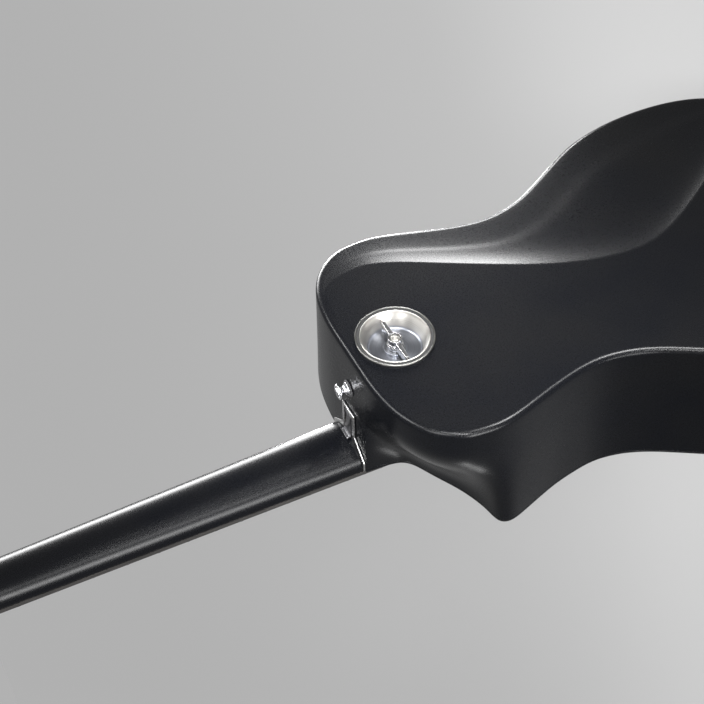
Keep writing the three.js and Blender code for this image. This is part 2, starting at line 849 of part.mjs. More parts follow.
function heelPlate() {
  const foot = widthAtBodyFret / 2 + plateMargin;
  const outline = [
    [tenonHalfWidth + runGap, plateFoot], [foot, plateFoot], [foot, neckThicknessHeel * plateEaseShare],
    [tabHalfWidth, tabShoulder], [tabHalfWidth, tabTop],
    [-tabHalfWidth, tabTop], [-tabHalfWidth, tabShoulder],
    [-foot, neckThicknessHeel * plateEaseShare], [-foot, plateFoot], [-tenonHalfWidth - runGap, plateFoot],
    [-tenonHalfWidth - runGap, tenonDepth + runGap * 2], [tenonHalfWidth + runGap, tenonDepth + runGap * 2],
  ];
  const window = [
    [-windowHalfWidth, windowLow], [windowHalfWidth, windowLow], [windowHalfWidth, windowHigh],
    [-windowHalfWidth, windowHigh],
  ];
  return prism(outline, seatGap, seatGap + heelPlateThickness, alongZ, [window]);
}

const latchPivotZ = -latchPinDepth - seatGap;

function latchPinBar(radius, halfLength) {
  return rod(radius, -halfLength, halfLength, postSides)
    .rotateZ(Math.PI / 2).translate(0, latchPinY, latchPivotZ);
}

function latchPin() {
  return latchPinBar(latchPinRadius, windowHalfWidth + latchPinSeat);
}

// Lever on the pin: a thumb pad above, and below a nose that rests over the end of the neck
function latchLever() {
  const noseLow = neckThicknessHeel + runGap;
  const noseHigh = noseLow + latchArm * noseRiseShare;
  const tipZ = neckEndZ + latchNoseReach;
  const padTop = windowHigh - padClearance;
  const faceZ = heelPlateThickness + seatGap;
  const backZ = latchPivotZ - latchHubRadius;
  const hubLow = latchPinY - latchHubRadius;
  const hubHigh = latchPinY + latchHubRadius;
  const armBack = faceZ - latchArm;
  const outline = [
    [noseLow, tipZ], [noseLow, armBack], [hubLow - latchHubRadius, armBack], [hubLow, latchPivotZ],
    [latchPinY - latchHubRadius / 2, backZ], [latchPinY + latchHubRadius / 2, backZ],
    [hubHigh, latchPivotZ], [hubHigh, padBackZ], [padTop, padBackZ], [padTop, faceZ - latchArm],
    [padTop - latchArm, faceZ], [hubHigh, faceZ - latchArm / 2], [hubLow, faceZ - latchArm / 2],
    [noseHigh + latchArm, faceZ], [noseHigh, faceZ + latchArm], [noseHigh, tipZ],
  ];
  const lever = prism(outline, -latchHalfWidth, latchHalfWidth, alongX);
  return cut(lever, latchPinBar(latchPinRadius + runGap, windowHalfWidth * 2));
}

// Coil behind the thumb pad, one unbroken wire
function latchSpring() {
  const points = [];
  const low = -latchPocketDepth + seatGap + springWire;
  const high = padBackZ - springWire - seatGap;
  const steps = springTurns * springSteps;
  for (let i = 0; i <= steps; i += 1) {
    const angle = (2 * Math.PI * i) / springSteps;
    points.push(new THREE.Vector3(
      springRadius * Math.cos(angle), springY + springRadius * Math.sin(angle), mix(low, high, i / steps),
    ));
  }
  report('latch spring', points, springWire, springSteps / 2);
  return wire(points, springWire, springSides);
}

function report(name, points, radius, skip) {
  console.log(name, 'least gap to itself', leastSelfGap(points, radius, skip).toFixed(2), 'mm');
}

// Strap buttons

function strapProfile(start) {
  const end = start + strapButtonLength;
  return [
    [0, start], [strapBaseRadius, start], [strapBaseRadius, start + strapFlange],
    [strapWaistRadius, start + strapFlange * 2], [strapWaistRadius, end - strapFlange * 2],
    [strapButtonRadius, end - strapFlange], [strapButtonRadius, end - strapFlange / 2],
    [strapButtonRadius - strapFlange, end], [0, end],
  ];
}

function strapButton() {
  const start = seatGap + feltThickness + seatGap;
  return turned(strapProfile(start), strapSides).rotateX(Math.PI / 2).translate(0, strapButtonY, 0);
}

function strapFelt() {
  return rod(feltRadius, seatGap, seatGap + feltThickness, strapSides)
    .rotateX(Math.PI / 2).translate(0, strapButtonY, 0);
}

const tailWallZ = () => outlineAt(halfCount - 1, tailButtonY).x;
const tailLean = Math.atan(sideDraft / bodyDepth);

const onTail = (geometry) => (
  geometry.rotateX(-Math.PI / 2 + tailLean).translate(0, tailButtonY, tailWallZ()));

function tailButton() {
  return onTail(turned(strapProfile(seatGap + feltThickness + seatGap), strapSides));
}

function tailFelt() {
  return onTail(rod(feltRadius, seatGap, seatGap + feltThickness, strapSides));
}

// Bridge

const pinLineZ = saddleZ - pinSetback;
const bridgeCentreZ = saddleZ - saddleOffset;
const stringX = (n, spread) => spread * (n / (stringRadii.length - 1) - 1 / 2);
const pinX = (n) => stringX(n, stringSpreadSaddle);

function pinHoles() {
  return stringRadii.map((_, n) => (
    rod(pinHoleRadius, -bridgeHeight * 2, bridgeHeight * 2, pinSides).translate(pinX(n), 0, pinLineZ)));
}

// Sections across the bridge at stations along X: [share of half span, share of length, share of height]
const bridgeStationShares = [
  [-1, 0.30, 0.3], [-0.97, 0.55, 0.55], [-0.86, 0.74, 0.75], [-0.66, 0.86, 0.9], [-0.5, 1, 1],
  [0.5, 1, 1], [0.66, 0.86, 0.9], [0.86, 0.74, 0.75], [0.97, 0.55, 0.55], [1, 0.30, 0.3],
];
const bridgeSectionShares = [
  [-1, 0], [-1, 0.55], [-0.82, 0.9], [-0.5, 1], [0.5, 1], [0.82, 0.9], [1, 0.55], [1, 0],
];

function bridge() {
  const rings = bridgeStationShares.map(([span, length, height]) => {
    const fullHeight = Math.abs(span) * bridgeHalfSpan > bridgeBellyHalfSpan
      ? mix(bridgeWingHeight, bridgeHeight, wingRise(span)) : bridgeHeight;
    return bridgeSectionShares.map(([across, up]) => new THREE.Vector3(
      span * bridgeHalfSpan,
      -seatGap - fullHeight * height * up,
      bridgeCentreZ + across * bridgeHalfLength * length,
    ));
  });
  const body = skinned(rings, (p) => new THREE.Vector2(p.z, p.y));
  return cut(body, saddleSolid(runGap, -bridgeHeight * 2, seatGap - saddleFoot()), ...pinHoles());
}

function wingRise(span) {
  const outer = bridgeHalfSpan - bridgeBellyHalfSpan;
  return smooth((bridgeHalfSpan - Math.abs(span) * bridgeHalfSpan) / outer);
}

const saddleFoot = () => bridgeHeight - saddleSlotDepth;
const stringAtSaddle = () => {
  const nutString = fretboardThickness + seatGap + fretHeight + actionAtNut;
  const middle = fretboardThickness + seatGap + fretHeight + actionAtMiddle;
  return nutString + (middle - nutString) * 2;
};

// The saddle stands a little slantwise; low and high are along Y
function saddleSolid(clearance, low, high) {
  const half = saddleHalfSpan + clearance;
  const thick = saddleHalfThickness + clearance;
  return box(-half, half, low, high, -thick, thick)
    .rotateY(saddleSlant).translate(0, 0, saddleZ);
}

function saddle() {
  const top = -stringAtSaddle() + seatGap + stringRadii[0];
  return saddleSolid(0, top, -saddleFoot() - seatGap);
}

function bridgePin(n) {
  const top = -bridgeHeight - seatGap * 2;
  const shank = pinHoleRadius - runGap;
  const pin = turned([
    [0, top + pinLength], [pinTipRadius, top + pinLength], [shank, top], [pinHeadRadius, top],
    [pinHeadRadius, top - pinHeadHeight / 2], [pinHeadRadius / 2, top - pinHeadHeight],
    [0, top - pinHeadHeight],
  ], pinSides);
  const groove = box(
    -stringRadii[0] - runGap, stringRadii[0] + runGap, top - pinHeadHeight * 2, top + pinLength * 2,
    stringOffsetInPin - stringRadii[0] - runGap, pinHeadRadius * 2,
  );
  return cut(pin, groove).translate(pinX(n), 0, pinLineZ);
}

// Neck

const neckWidthAt = (z) => mix(widthAtBodyFret, widthAtNut, z / nutZ);

// Half widths along the headstock: [share of head length, share of half width]
const headWidthShares = [
  [0.12, 0.80], [0.2, 0.93], [0.35, 1], [0.6, 0.97], [0.85, 0.90], [0.955, 0.86], [1, 0.72],
];

// A section with a flat front and a rounded back, from one side of the front to the other
function neckSection(z, halfWidth, front, thickness, squareness, round) {
  const points = [];
  for (let i = 0; i <= neckSteps; i += 1) {
    const angle = (Math.PI * i) / neckSteps;
    const c = Math.cos(angle);
    const s = Math.sin(angle);
    const x = halfWidth * Math.sign(c) * Math.abs(c) ** (2 / squareness);
    const y = front + round + (thickness - round) * Math.abs(s) ** (2 / squareness);
    points.push(new THREE.Vector3(x, y, z));
  }
  points.push(new THREE.Vector3(-halfWidth + round, front, z));
  points.push(new THREE.Vector3(halfWidth - round, front, z));
  return points;
}

const shaftStationShares = [0, 0.34, 0.67, 0.93];
const headFront = (z) => Math.max(0, (z - headPivotZ) * Math.tan(headTilt));

function neck() {
  const rings = shaftStationShares.map((share) => {
    const z = mix(neckEndZ, nutZ, share);
    const thickness = mix(neckThicknessHeel, neckThicknessNut, share);
    return neckSection(z, neckWidthAt(z) / 2, 0, thickness, neckRoundness, frontRound);
  });
  const pivotHalf = widthAtNut / 2;
  const slanted = headThickness / Math.cos(headTilt);
  const shape = mix(neckRoundness, headSquareness, headBlendShare);
  rings.push(neckSection(headPivotZ, pivotHalf, 0, neckThicknessNut + frontRound, shape, frontRound));
  for (const [along, wide] of headWidthShares) {
    const z = headPivotZ + along * headLength * Math.cos(headTilt);
    const square = mix(shape, headSquareness, smooth(along * headLength / headFlare - 1));
    rings.push(neckSection(z, wide * headHalfWidth, headFront(z), slanted, square, frontRound));
  }
  const blank = skinned(rings, (p) => new THREE.Vector2(p.x, p.y));
  const half = tangHalfWidth + seatGap;
  const rodHalf = trussHalfWidth + seatGap;
  const pocket = [
    [-trussPocketHalfWidth, 0], [trussPocketHalfWidth, 0], [trussPocketHalfWidth, trussPocketLength],
    [-trussPocketHalfWidth, trussPocketLength],
  ];
  return cut(
    blank,
    box(-half, half, -cutOverrun, tenonDepth + seatGap, -cutOverrun, tangLength + seatGap),
    box(-rodHalf, rodHalf, -cutOverrun, trussDepth + seatGap * 2, trussLowEnd, headPivotZ),
    inHead(prism(pocket, -cutOverrun, trussPocketDepth, alongY)),
    ...tunerPlaces().map(({ x, z }) => inHead(
      rod(postRadius + runGap + sleeveWall + seatGap, -headThickness, headThickness * 2, tunerSides)
        .translate(x, 0, z))),
  );
}

// Moves something modelled on an upright headstock to the tilted one
function inHead(geometry) {
  return geometry.rotateX(-headTilt).translate(0, 0, headPivotZ);
}

function fretboard() {
  const front = -seatGap - fretboardThickness;
  const profile = [[-seatGap, fretboardEndZ], [-seatGap, nutZ - seatGap], [front, nutZ - seatGap]];
  for (let fret = 1; fret <= fretCount; fret += 1) {
    const z = nutZ - fretDistance(fret);
    profile.push([front, z + fretHalfWidth], [front - fretHeight, z + fretCrownHalfWidth]);
    profile.push([front - fretHeight, z - fretCrownHalfWidth], [front, z - fretHalfWidth]);
  }
  profile.push([front, fretboardEndZ]);
  const halfShare = 1 / 2;
  return prism(profile, -halfShare, halfShare, (u, v, share) => [share * neckWidthAt(v), u, v]);
}

function nut() {
  const half = widthAtNut / 2;
  const low = -nutHeight - seatGap;
  return prism([
    [-seatGap, nutZ], [low, nutZ], [low, nutZ + nutLength / 2], [low + nutLength / 4, nutZ + nutLength],
    [-seatGap, nutZ + nutLength],
  ], -half, half, alongX);
}

function trussRod() {
  const end = headPivotZ - seatGap;
  const bar = box(-trussHalfWidth, trussHalfWidth, seatGap, trussDepth, trussLowEnd + seatGap, end);
  const hexNut = rod(trussNutRadius, 0, trussNutLength, hexSides)
    .rotateX(Math.PI / 2).translate(0, trussDepth - trussNutRadius, end - seatGap);
  return join(bar, hexNut);
}

// Cover over the nut of the truss rod, in the headstock's own frame
function trussCover() {
  const halfWide = trussCoverHalfWidth;
  const outline = [
    [-halfWide, 0], [halfWide, 0], [halfWide, trussCoverLength * coverShoulderShare],
    [halfWide * coverTipShare, trussCoverLength], [-halfWide * coverTipShare, trussCoverLength],
    [-halfWide, trussCoverLength * coverShoulderShare],
  ];
  return prism(outline, -seatGap - trussCoverThickness, -seatGap, alongY);
}

// Tuners

// Bass side from the nut up, then the treble side from the top down, in string order
function tunerPlaces() {
  const places = [];
  for (let n = 0; n < stringRadii.length; n += 1) {
    const bass = n < stringRadii.length / 2;
    const row = bass ? n : stringRadii.length - 1 - n;
    const z = tunerFirst + row * tunerPitch;
    const side = bass ? -1 : 1;
    places.push({ x: side * (headHalfWidth - tunerEdge), z, side, edge: side * headHalfWidth });
  }
  return places;
}

function roundedBox(halfU, halfV, corner, low, high, place) {
  const outline = [];
  for (let quarter = 0; quarter < 4; quarter += 1) {
    const signU = quarter === 0 || quarter === 3 ? 1 : -1;
    const signV = quarter < 2 ? 1 : -1;
    for (let s = 0; s <= cornerSteps; s += 1) {
      const angle = (Math.PI / 2) * (quarter + s / cornerSteps);
      outline.push([
        signU * (halfU - corner) + corner * Math.cos(angle),
        signV * (halfV - corner) + corner * Math.sin(angle),
      ]);
    }
  }
  return prism(outline, low, high, place);
}

// Gear case behind the headstock, with the sleeve that comes through to the front
function tunerHousing(x, z, side) {
  const low = headThickness + seatGap;
  const gearCase = roundedBox(caseHalfWidth, caseHalfLength, caseCorner, low, low + caseDepth, alongY);
  const sleeve = rod(postRadius + runGap + sleeveWall, -bushingHeight, low + sleeveWall, tunerSides);
  const bushing = rod(bushingRadius, -seatGap - bushingHeight, -seatGap, tunerSides);
  const bore = rod(postRadius + runGap, -headThickness, low + postBoreDepth, tunerSides);
  const shaftBore = rod(knobShaftRadius + runGap, caseHalfWidth - knobBoreInset, caseHalfWidth * 2, postSides)
    .rotateZ((-Math.PI / 2) * side).translate(0, low + knobShaftDepth, 0);
  return cut(join(gearCase, sleeve, bushing), bore, shaftBore).translate(x, 0, z);
}

function tunerPost(x, z) {
  const deep = headThickness + seatGap + postBoreDepth - runGap;
  const top = -postHeight;
  const waist = (postRadius + postWaistRadius) / 2;
  return turned([
    [0, deep], [postRadius, deep], [postRadius, top * postShoulderShare], [waist, top * postWaistShare],
    [waist, top * postNeckShare], [postCapRadius, top * postCapShare], [postCapRadius, top + runGap],
    [postWaistRadius, top], [0, top],
  ], postSides).translate(x, 0, z);
}

// Shaft and button, along X from the gear case
function tunerKnob(x, z, side) {
  const low = headThickness + seatGap;
  const start = caseHalfWidth - knobBoreInset + runGap;
  const buttonStart = caseHalfWidth + knobStandoff;
  const shaft = rod(knobShaftRadius, start, buttonStart + knobHalfThickness, postSides).rotateZ(-Math.PI / 2);
  const outline = [];
  for (let i = 0; i <= knobSteps; i += 1) {
    const angle = Math.PI * (i / knobSteps - 1 / 2);
    outline.push([
      buttonStart + knobLength * (1 - (1 - Math.cos(angle)) * knobWaistShare),
      knobHalfHeight * Math.sin(angle),
    ]);
  }
  outline.push([buttonStart, knobHalfHeight * (1 - knobWaistShare)]);
  outline.push([buttonStart, -knobHalfHeight * (1 - knobWaistShare)]);
  const button = prism(outline, -knobHalfThickness, knobHalfThickness, (u, v, height) => [u, height, v]);
  return join(shaft, button).scale(side, 1, 1).translate(x, low + knobShaftDepth, z);
}

// Strings

const toHead = new THREE.Matrix4().makeTranslation(0, 0, headPivotZ)
  .multiply(new THREE.Matrix4().makeRotationX(-headTilt));

// From the bridge pin over the saddle and the nut to the post, and round it in an open winding
function stringRoute(n) {
  const radius = stringRadii[n];
  const place = tunerPlaces()[n];
  const windRadius = postRadius + seatGap + radius;
  const pitch = radius * 2 + windingSpace;
  const saddleX = stringX(n, stringSpreadSaddle);
  const nutX = stringX(n, stringSpreadNut);
  const rest = -nutHeight - seatGap * 2 - radius;
  const overSaddle = -stringAtSaddle();
  const route = [
    new THREE.Vector3(saddleX, -bridgeHeight + stringHoleDepth - seatGap, pinLineZ + stringOffsetInPin),
    new THREE.Vector3(saddleX, -bridgeHeight - seatGap * 2 - radius, pinLineZ + stringOffsetInPin + radius),
    new THREE.Vector3(saddleX, overSaddle, saddleZ),
    new THREE.Vector3(nutX, rest, nutZ + nutLength / 2),
  ];
  const startY = -postHeight * postNeckShare + radius;
  const turnSign = place.side;
  const nutInHead = route[3].clone().applyMatrix4(toHead.clone().invert());
  const toPost = new THREE.Vector2(place.x - nutInHead.x, place.z - nutInHead.z);
  const heading = Math.atan2(toPost.y, toPost.x);
  const lean = Math.acos(windRadius / toPost.length());
  const startAngle = heading + Math.PI - turnSign * lean;
  for (let i = 0; i <= windingTurns * windingSteps; i += 1) {
    const turn = i / windingSteps;
    const angle = startAngle - turnSign * 2 * Math.PI * turn;
    route.push(new THREE.Vector3(
      place.x + windRadius * Math.cos(angle), startY + pitch * turn, place.z + windRadius * Math.sin(angle),
    ).applyMatrix4(toHead));
  }
  report(`string ${n + 1} winding`, route.slice(4), radius, windingSteps / 2);
  return route;
}

// Assembly

const guitar = new THREE.Group();
guitar.position.z = -hangerZ;
const head = new THREE.Group();
head.position.z = headPivotZ;
head.rotation.x = -headTilt;
guitar.add(head);

function place(parent, name, geometry, look) {
  const material = new THREE.MeshStandardMaterial({ ...look, flatShading: true });
  const mesh = new THREE.Mesh(closed(geometry), material);
  mesh.name = name;
  parent.add(mesh);
}

const assembly = new THREE.Group();
assembly.add(guitar);

place(guitar, 'body_shell', bodyShell(), satinCarbon);
place(guitar, 'soundboard', soundboard(), satinCarbon);
place(guitar, 'soundhole_ring', soundholeRing(), composite);
place(guitar, 'x_brace', xBrace(), composite);
place(guitar, 'bridge_plate', bridgePlate(), composite);
place(guitar, 'neck_block', neckBlock(), wood);
place(guitar, 'tail_block', tailBlock(), wood);

place(guitar, 'key_cup', keyCup(), steel);
place(guitar, 'cup_gasket', cupGasket(), rubber);
place(guitar, 'thrust_washer', thrustWasher(), steel);
place(guitar, 'lock_bolt', lockBolt(), steel);
place(guitar, 'lock_key', lockKey(), steel);
place(guitar, 'key_screw', keyScrew(), steel);

place(guitar, 'heel_plate', heelPlate(), steel);
place(guitar, 'latch_lever', latchLever(), steel);
place(guitar, 'latch_pin', latchPin(), steel);
place(guitar, 'latch_spring', latchSpring(), plainSteel);
place(guitar, 'strap_button', strapButton(), chrome);
place(guitar, 'strap_felt', strapFelt(), feltBlack);
place(guitar, 'tail_button', tailButton(), chrome);
place(guitar, 'tail_felt', tailFelt(), feltBlack);

place(guitar, 'bridge', bridge(), composite);
place(guitar, 'saddle', saddle(), bone);
stringRadii.forEach((_, n) => place(guitar, `bridge_pin_${n + 1}`, bridgePin(n), bone));

place(guitar, 'neck', neck(), satinCarbon);
place(guitar, 'neck_tenon', neckTenon(), steel);
place(guitar, 'threaded_insert', threadedInsert(), brass);
place(guitar, 'fretboard', fretboard(), composite);
place(guitar, 'nut', nut(), bone);
place(guitar, 'truss_rod', trussRod(), steel);
place(head, 'truss_cover', trussCover(), composite);

tunerPlaces().forEach(({ x, z, side }, n) => {
  place(head, `tuner_housing_${n + 1}`, tunerHousing(x, z, side), chrome);
  place(head, `tuner_post_${n + 1}`, tunerPost(x, z), chrome);
  place(head, `tuner_knob_${n + 1}`, tunerKnob(x, z, side), chrome);
});

stringRadii.forEach((radius, n) => {
  const look = radius > leastWoundRadius ? bronze : plainSteel;
  place(guitar, `string_${n + 1}`, wire(stringRoute(n), radius, windingSides), look);
});

export default assembly;
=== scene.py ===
import json
from math import acos, atan, atan2, cos, degrees, hypot, pi, radians, sin, tan

import bmesh
import bpy
import numpy as np
from mathutils import Matrix, Vector


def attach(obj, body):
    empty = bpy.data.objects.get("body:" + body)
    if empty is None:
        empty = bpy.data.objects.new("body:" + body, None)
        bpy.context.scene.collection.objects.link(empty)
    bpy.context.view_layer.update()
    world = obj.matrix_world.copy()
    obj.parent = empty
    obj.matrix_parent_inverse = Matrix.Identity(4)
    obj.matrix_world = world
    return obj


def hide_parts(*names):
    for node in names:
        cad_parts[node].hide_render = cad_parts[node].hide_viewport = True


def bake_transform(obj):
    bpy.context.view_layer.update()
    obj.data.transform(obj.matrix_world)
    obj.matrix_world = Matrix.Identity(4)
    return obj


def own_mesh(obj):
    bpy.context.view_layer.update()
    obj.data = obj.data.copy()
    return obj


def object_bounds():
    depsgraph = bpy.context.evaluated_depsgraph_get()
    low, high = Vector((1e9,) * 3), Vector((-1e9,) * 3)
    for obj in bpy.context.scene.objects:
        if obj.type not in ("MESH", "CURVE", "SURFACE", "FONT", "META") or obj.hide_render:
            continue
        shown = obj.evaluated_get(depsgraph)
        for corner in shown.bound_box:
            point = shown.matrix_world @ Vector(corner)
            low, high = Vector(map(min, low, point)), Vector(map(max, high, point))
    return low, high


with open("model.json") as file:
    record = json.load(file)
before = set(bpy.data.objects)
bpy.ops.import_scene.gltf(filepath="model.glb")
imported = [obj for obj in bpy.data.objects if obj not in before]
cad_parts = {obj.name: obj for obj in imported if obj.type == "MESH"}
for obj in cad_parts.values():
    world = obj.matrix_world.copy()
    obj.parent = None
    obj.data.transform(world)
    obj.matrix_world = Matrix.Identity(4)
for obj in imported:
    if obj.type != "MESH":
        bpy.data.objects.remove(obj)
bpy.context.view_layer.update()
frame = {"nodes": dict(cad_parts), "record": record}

# Sizes, in millimetres, as in the CAD. Heights count from the heel wall, y from the front
MM = 0.001
SEAT = 0.3  # gap between two pieces that touch
LENGTH, HALF, DEPTH, DRAFT, WALL, EDGE = 500.0, 169.0, 121.0, 9.0, 2.6, 5.0
TOP, TOP_ROUND = 2.6, 0.9  # the soundboard and its rounded edge
BLOCK_HALF = 20.3  # half the openings for the neck block
SCALE = 622.0


def below_nut(k):
    """How far fret k lies below the nut."""
    return SCALE * (1 - 2 ** (-k / 12))


BODY_FRET, FRETS = 14, 20
NUT_Z = below_nut(BODY_FRET)
SADDLE_Z = NUT_Z - SCALE
NUT_LENGTH = 5.0
PIVOT_Z = NUT_Z + NUT_LENGTH + 1  # here the headstock starts to lean back
HANGER_Z = PIVOT_Z + 12  # the frame's origin
TILT_DEGREES = 13
TILT = radians(TILT_DEGREES)
NECK_WIDE, NUT_WIDE = 56.0, 44.5
BOARD, FRET_HIGH, FRET_HALF = 5.5, 1.0, 1.15
BOARD_END = NUT_Z - below_nut(FRETS) - 7
CAMBER = 400.0
HOLE_R = 46.0
HOLE_Z = BOARD_END - 0.85 - HOLE_R - 3
LOCK_Z = -43.0
FLOOR_Y, FLANGE_Y = DEPTH - 13, DEPTH + SEAT + 0.7
CUP_R, CUP_MOUTH, CUP_FLOOR, CUP_WALL, BOLT_BORE = 33.3, 28.5, 21.0, 1.1, 4.3
HUB_LOW = FLOOR_Y + SEAT + 1 + SEAT
HUB_TOP = DEPTH - 0.5
BOLT_TOP = HUB_TOP - 3
KEY_REACH = 22.75  # half the key from tip to tip
HEAD_LONG, HEAD_THICK, HEAD_HALF = 156.0, 14.5, 35.0
BRIDGE_HIGH, BRIDGE_HALF, BRIDGE_LONG = 8.2, 76, 15
SADDLE_HALF, SADDLE_THICK, SLOT_DEEP, SLANT = 36, 1.4, 4.5, 2.5
PIN_Z, PIN_BORE = SADDLE_Z - 10, 2.7
PIN_SPREAD, NUT_SPREAD = 54, 36.5  # from the first string to the last
STRING_R = [0.67 * s for s in (1, 0.79, 0.61, 0.46, 0.31, 0.24)]
NUT_HIGH = BOARD + 1.5
NUT_STRING = BOARD + SEAT + FRET_HIGH + 0.4
SADDLE_STRING = NUT_STRING + (2.3 - 0.4) * 2
POST_R, POST_HIGH, WAIST_TOP = 3, 13, 0.84
CASE_LOW = HEAD_THICK + SEAT
SHAFT_Y = CASE_LOW + 7.2
# The posts on the headstock: x, z and the side that the knob points to
TUNERS = ([(-20.0, 40.0 + row * 38.0, -1) for row in (0, 1, 2)]
          + [(20.0, 40.0 + row * 38.0, 1) for row in (2, 1, 0)])

# Half outlines of the flat back, of the scoop's edge and of the bevel's crease, in thousandths of the
# body's length and half width, and how much of the bevel there is at each point of the first
BACK = [
    (0, 178), (2, 284), (12, 444), (40, 598), (84, 692), (116, 713), (146, 720), (176, 710),
    (212, 683), (288, 617), (364, 581), (442, 633), (518, 757), (600, 896), (690, 976), (780, 1000),
    (860, 976), (924, 888), (968, 722), (992, 444), (1000, 0),
]
CUTAWAY = [
    (0, 178), (40, 186), (74, 219), (99, 355), (126, 497), (144, 639), (151, 746), (172, 775),
    (212, 740), (288, 666), (364, 633),
]
CREASE = [
    (18, 178), (20, 272), (24, 420), (44, 485), (80, 515), (112, 521), (140, 500), (174, 456),
    (214, 391), (296, 254), (380, 124), (456, 36), (524, -6), (584, -6), (650, 65), (744, 231),
    (820, 402), (886, 574), (944, 615), (976, 426), (984, 0),
]
FADE = [0, 0.05, 0.2, 0.6, 0.9, 1, 1, 1, 1, 1, 1, 1, 1, 1, 1, 1, 0.95, 0.7, 0.3, 0.08, 0]
# Arm bevel: it starts steep at the crease, eases off, and has a soft ridge on its way to the rim
BEVEL_DROP = (2.5, 13.0)  # at the heel and at the tail
BEVEL_REACH = 28.0
BEVEL_EASY = 0.02
RIDGE_AT = [(0, 0.48), (130, 0.50), (170, 0.54), (220, 0.66), (300, 0.75), (500, 0.72)]
RIDGE_SLOPE, RIDGE_WIDTH = 0.055, 0.055
STRIP = 9  # from the edge to the flat, where there is no bevel
SCOOP_LOW = 100  # y at which the cutaway's scoop has run out
SCOOP_BLEND = 13  # points over which it runs out along the side
STEPS = 10  # points for each span of a table

# Camera, as fitted to the photograph, in metres
CAMERA_AT = (0.782908, 1.063484, -0.006774)
CAMERA_RIGHT = (0.437413, -0.020130, -0.899035)
CAMERA_BACK = (0.613561, 0.737575, 0.282004)
SENSOR, FOCAL_LENGTH = 36, 80.10


def added(name, data):
    obj = bpy.data.objects.new(name, data)
    bpy.context.scene.collection.objects.link(obj)
    return obj


data = bpy.data.cameras.new("camera")
data.sensor_width, data.lens = SENSOR, FOCAL_LENGTH
data.clip_start, data.clip_end = 0.01, 60
back = Vector(CAMERA_BACK).normalized()
up = back.cross(Vector(CAMERA_RIGHT)).normalized()
turn = Matrix((up.cross(back), up, back)).transposed().to_4x4()
camera = added("camera", data)
camera.matrix_world = Matrix.Translation(CAMERA_AT) @ turn
bpy.context.scene.camera = camera

# Materials


def shader(name, color, rough, metal=0.0, specular=0.5, anisotropic=0.0):
    mat = bpy.data.materials.new(name)
    mat.use_nodes = True
    bsdf = mat.node_tree.nodes["Principled BSDF"]
    for key, value in (("Base Color", (*color, 1)), ("Roughness", rough), ("Metallic", metal),
                       ("Specular IOR Level", specular), ("Anisotropic", anisotropic)):
        bsdf.inputs[key].default_value = value
    return mat, mat.node_tree, bsdf


def feed(tree, made, links):
    """Links outputs to the inputs of a node, which go by name or number."""
    for key, source in links.items():
        tree.links.new(source, made.inputs[key])


def node(tree, kind, links=None, **values):
    made = tree.nodes.new("ShaderNode" + kind)
    for key, value in values.items():
        made.inputs[key.replace("_", " ")].default_value = value
    feed(tree, made, links or {})
    return made


def calculated(tree, operation, one, two):
    """A Math node's result for an output and a second output or a constant."""
    made = node(tree, "Math", {0: one})
    made.operation = operation
    if isinstance(two, float):
        made.inputs[1].default_value = two
    else:
        feed(tree, made, {1: two})
    return made.outputs[0]


def coordinates(tree, stretch=(1, 1, 1)):
    where = node(tree, "TexCoord").outputs["Object"]
    return node(tree, "Mapping", {"Vector": where}, Scale=stretch).outputs["Vector"]


def noise(tree, vector, scale, detail, rough=0.55):
    made = node(tree, "TexNoise", {"Vector": vector}, Scale=scale, Detail=detail, Roughness=rough)
    return made.outputs["Fac"]


def between(tree, factor, low, high, start=0.35, end=0.65):
    made = node(tree, "MapRange", {"Value": factor}, From_Min=start, From_Max=end, To_Min=low, To_Max=high)
    return made.outputs["Result"]


def colours(tree, factor, low, high, start=0.3, end=0.7):
    ramp = node(tree, "ValToRGB", {"Fac": factor})
    for element, at, color in zip(ramp.color_ramp.elements, (start, end), (low, high)):
        element.position, element.color = at, (*color, 1)
    return ramp.outputs["Color"]


def bump(tree, bsdf, height, strength, distance):
    made = node(tree, "Bump", {"Height": height}, Strength=strength, Distance=distance)
    feed(tree, bsdf, {"Normal": made.outputs["Normal"]})


def toned(color, by):
    return tuple(min(1.0, c * by) for c in color)


def clouded(name, color, rough, low, high, rough_range, broad, fine, metal, specular, relief=0):
    """A finish whose colour and gloss vary apart, with a soft relief where its scale is given."""
    mat, tree, bsdf = shader(name, color, rough, metal, specular)
    at = coordinates(tree)
    feed(tree, bsdf, {"Base Color": colours(tree, noise(tree, at, broad, 2), low, high),
                      "Roughness": between(tree, noise(tree, at, fine, 3), *rough_range)})
    if relief:
        bump(tree, bsdf, noise(tree, at, relief, 2), 0.10, 0.0002)
    return mat


def wood(name):
    mat, tree, bsdf = shader(name, (0.35, 0.23, 0.13), 0.65)
    grain = noise(tree, coordinates(tree, (1, 1, 0.08)), 260, 5, 0.6)
    feed(tree, bsdf, {"Base Color": colours(tree, grain, (0.22, 0.13, 0.07), (0.44, 0.30, 0.18))})
    bump(tree, bsdf, grain, 0.25, 0.0004)
    return mat


def grained(name, color, rough, low, high, rough_range, scale, strength, distance=0.0003, detail=4,
            stretch=(1, 1, 1), metal=0.0, specular=0.5):
    """A finish whose colour, gloss and relief follow one noise."""
    mat, tree, bsdf = shader(name, color, rough, metal, specular)
    grain = noise(tree, coordinates(tree, stretch), scale, detail)
    feed(tree, bsdf, {"Base Color": colours(tree, grain, low, high),
                      "Roughness": between(tree, grain, *rough_range)})
    bump(tree, bsdf, grain, strength, distance)
    return mat


def brushed(name, color, rough):
    return grained(name, color, rough, toned(color, 0.88), toned(color, 1.08),
                   (rough * 0.8, rough * 1.25), 2200, 0.12, 0.0001, 3, (1, 1, 0.05), 1.0)


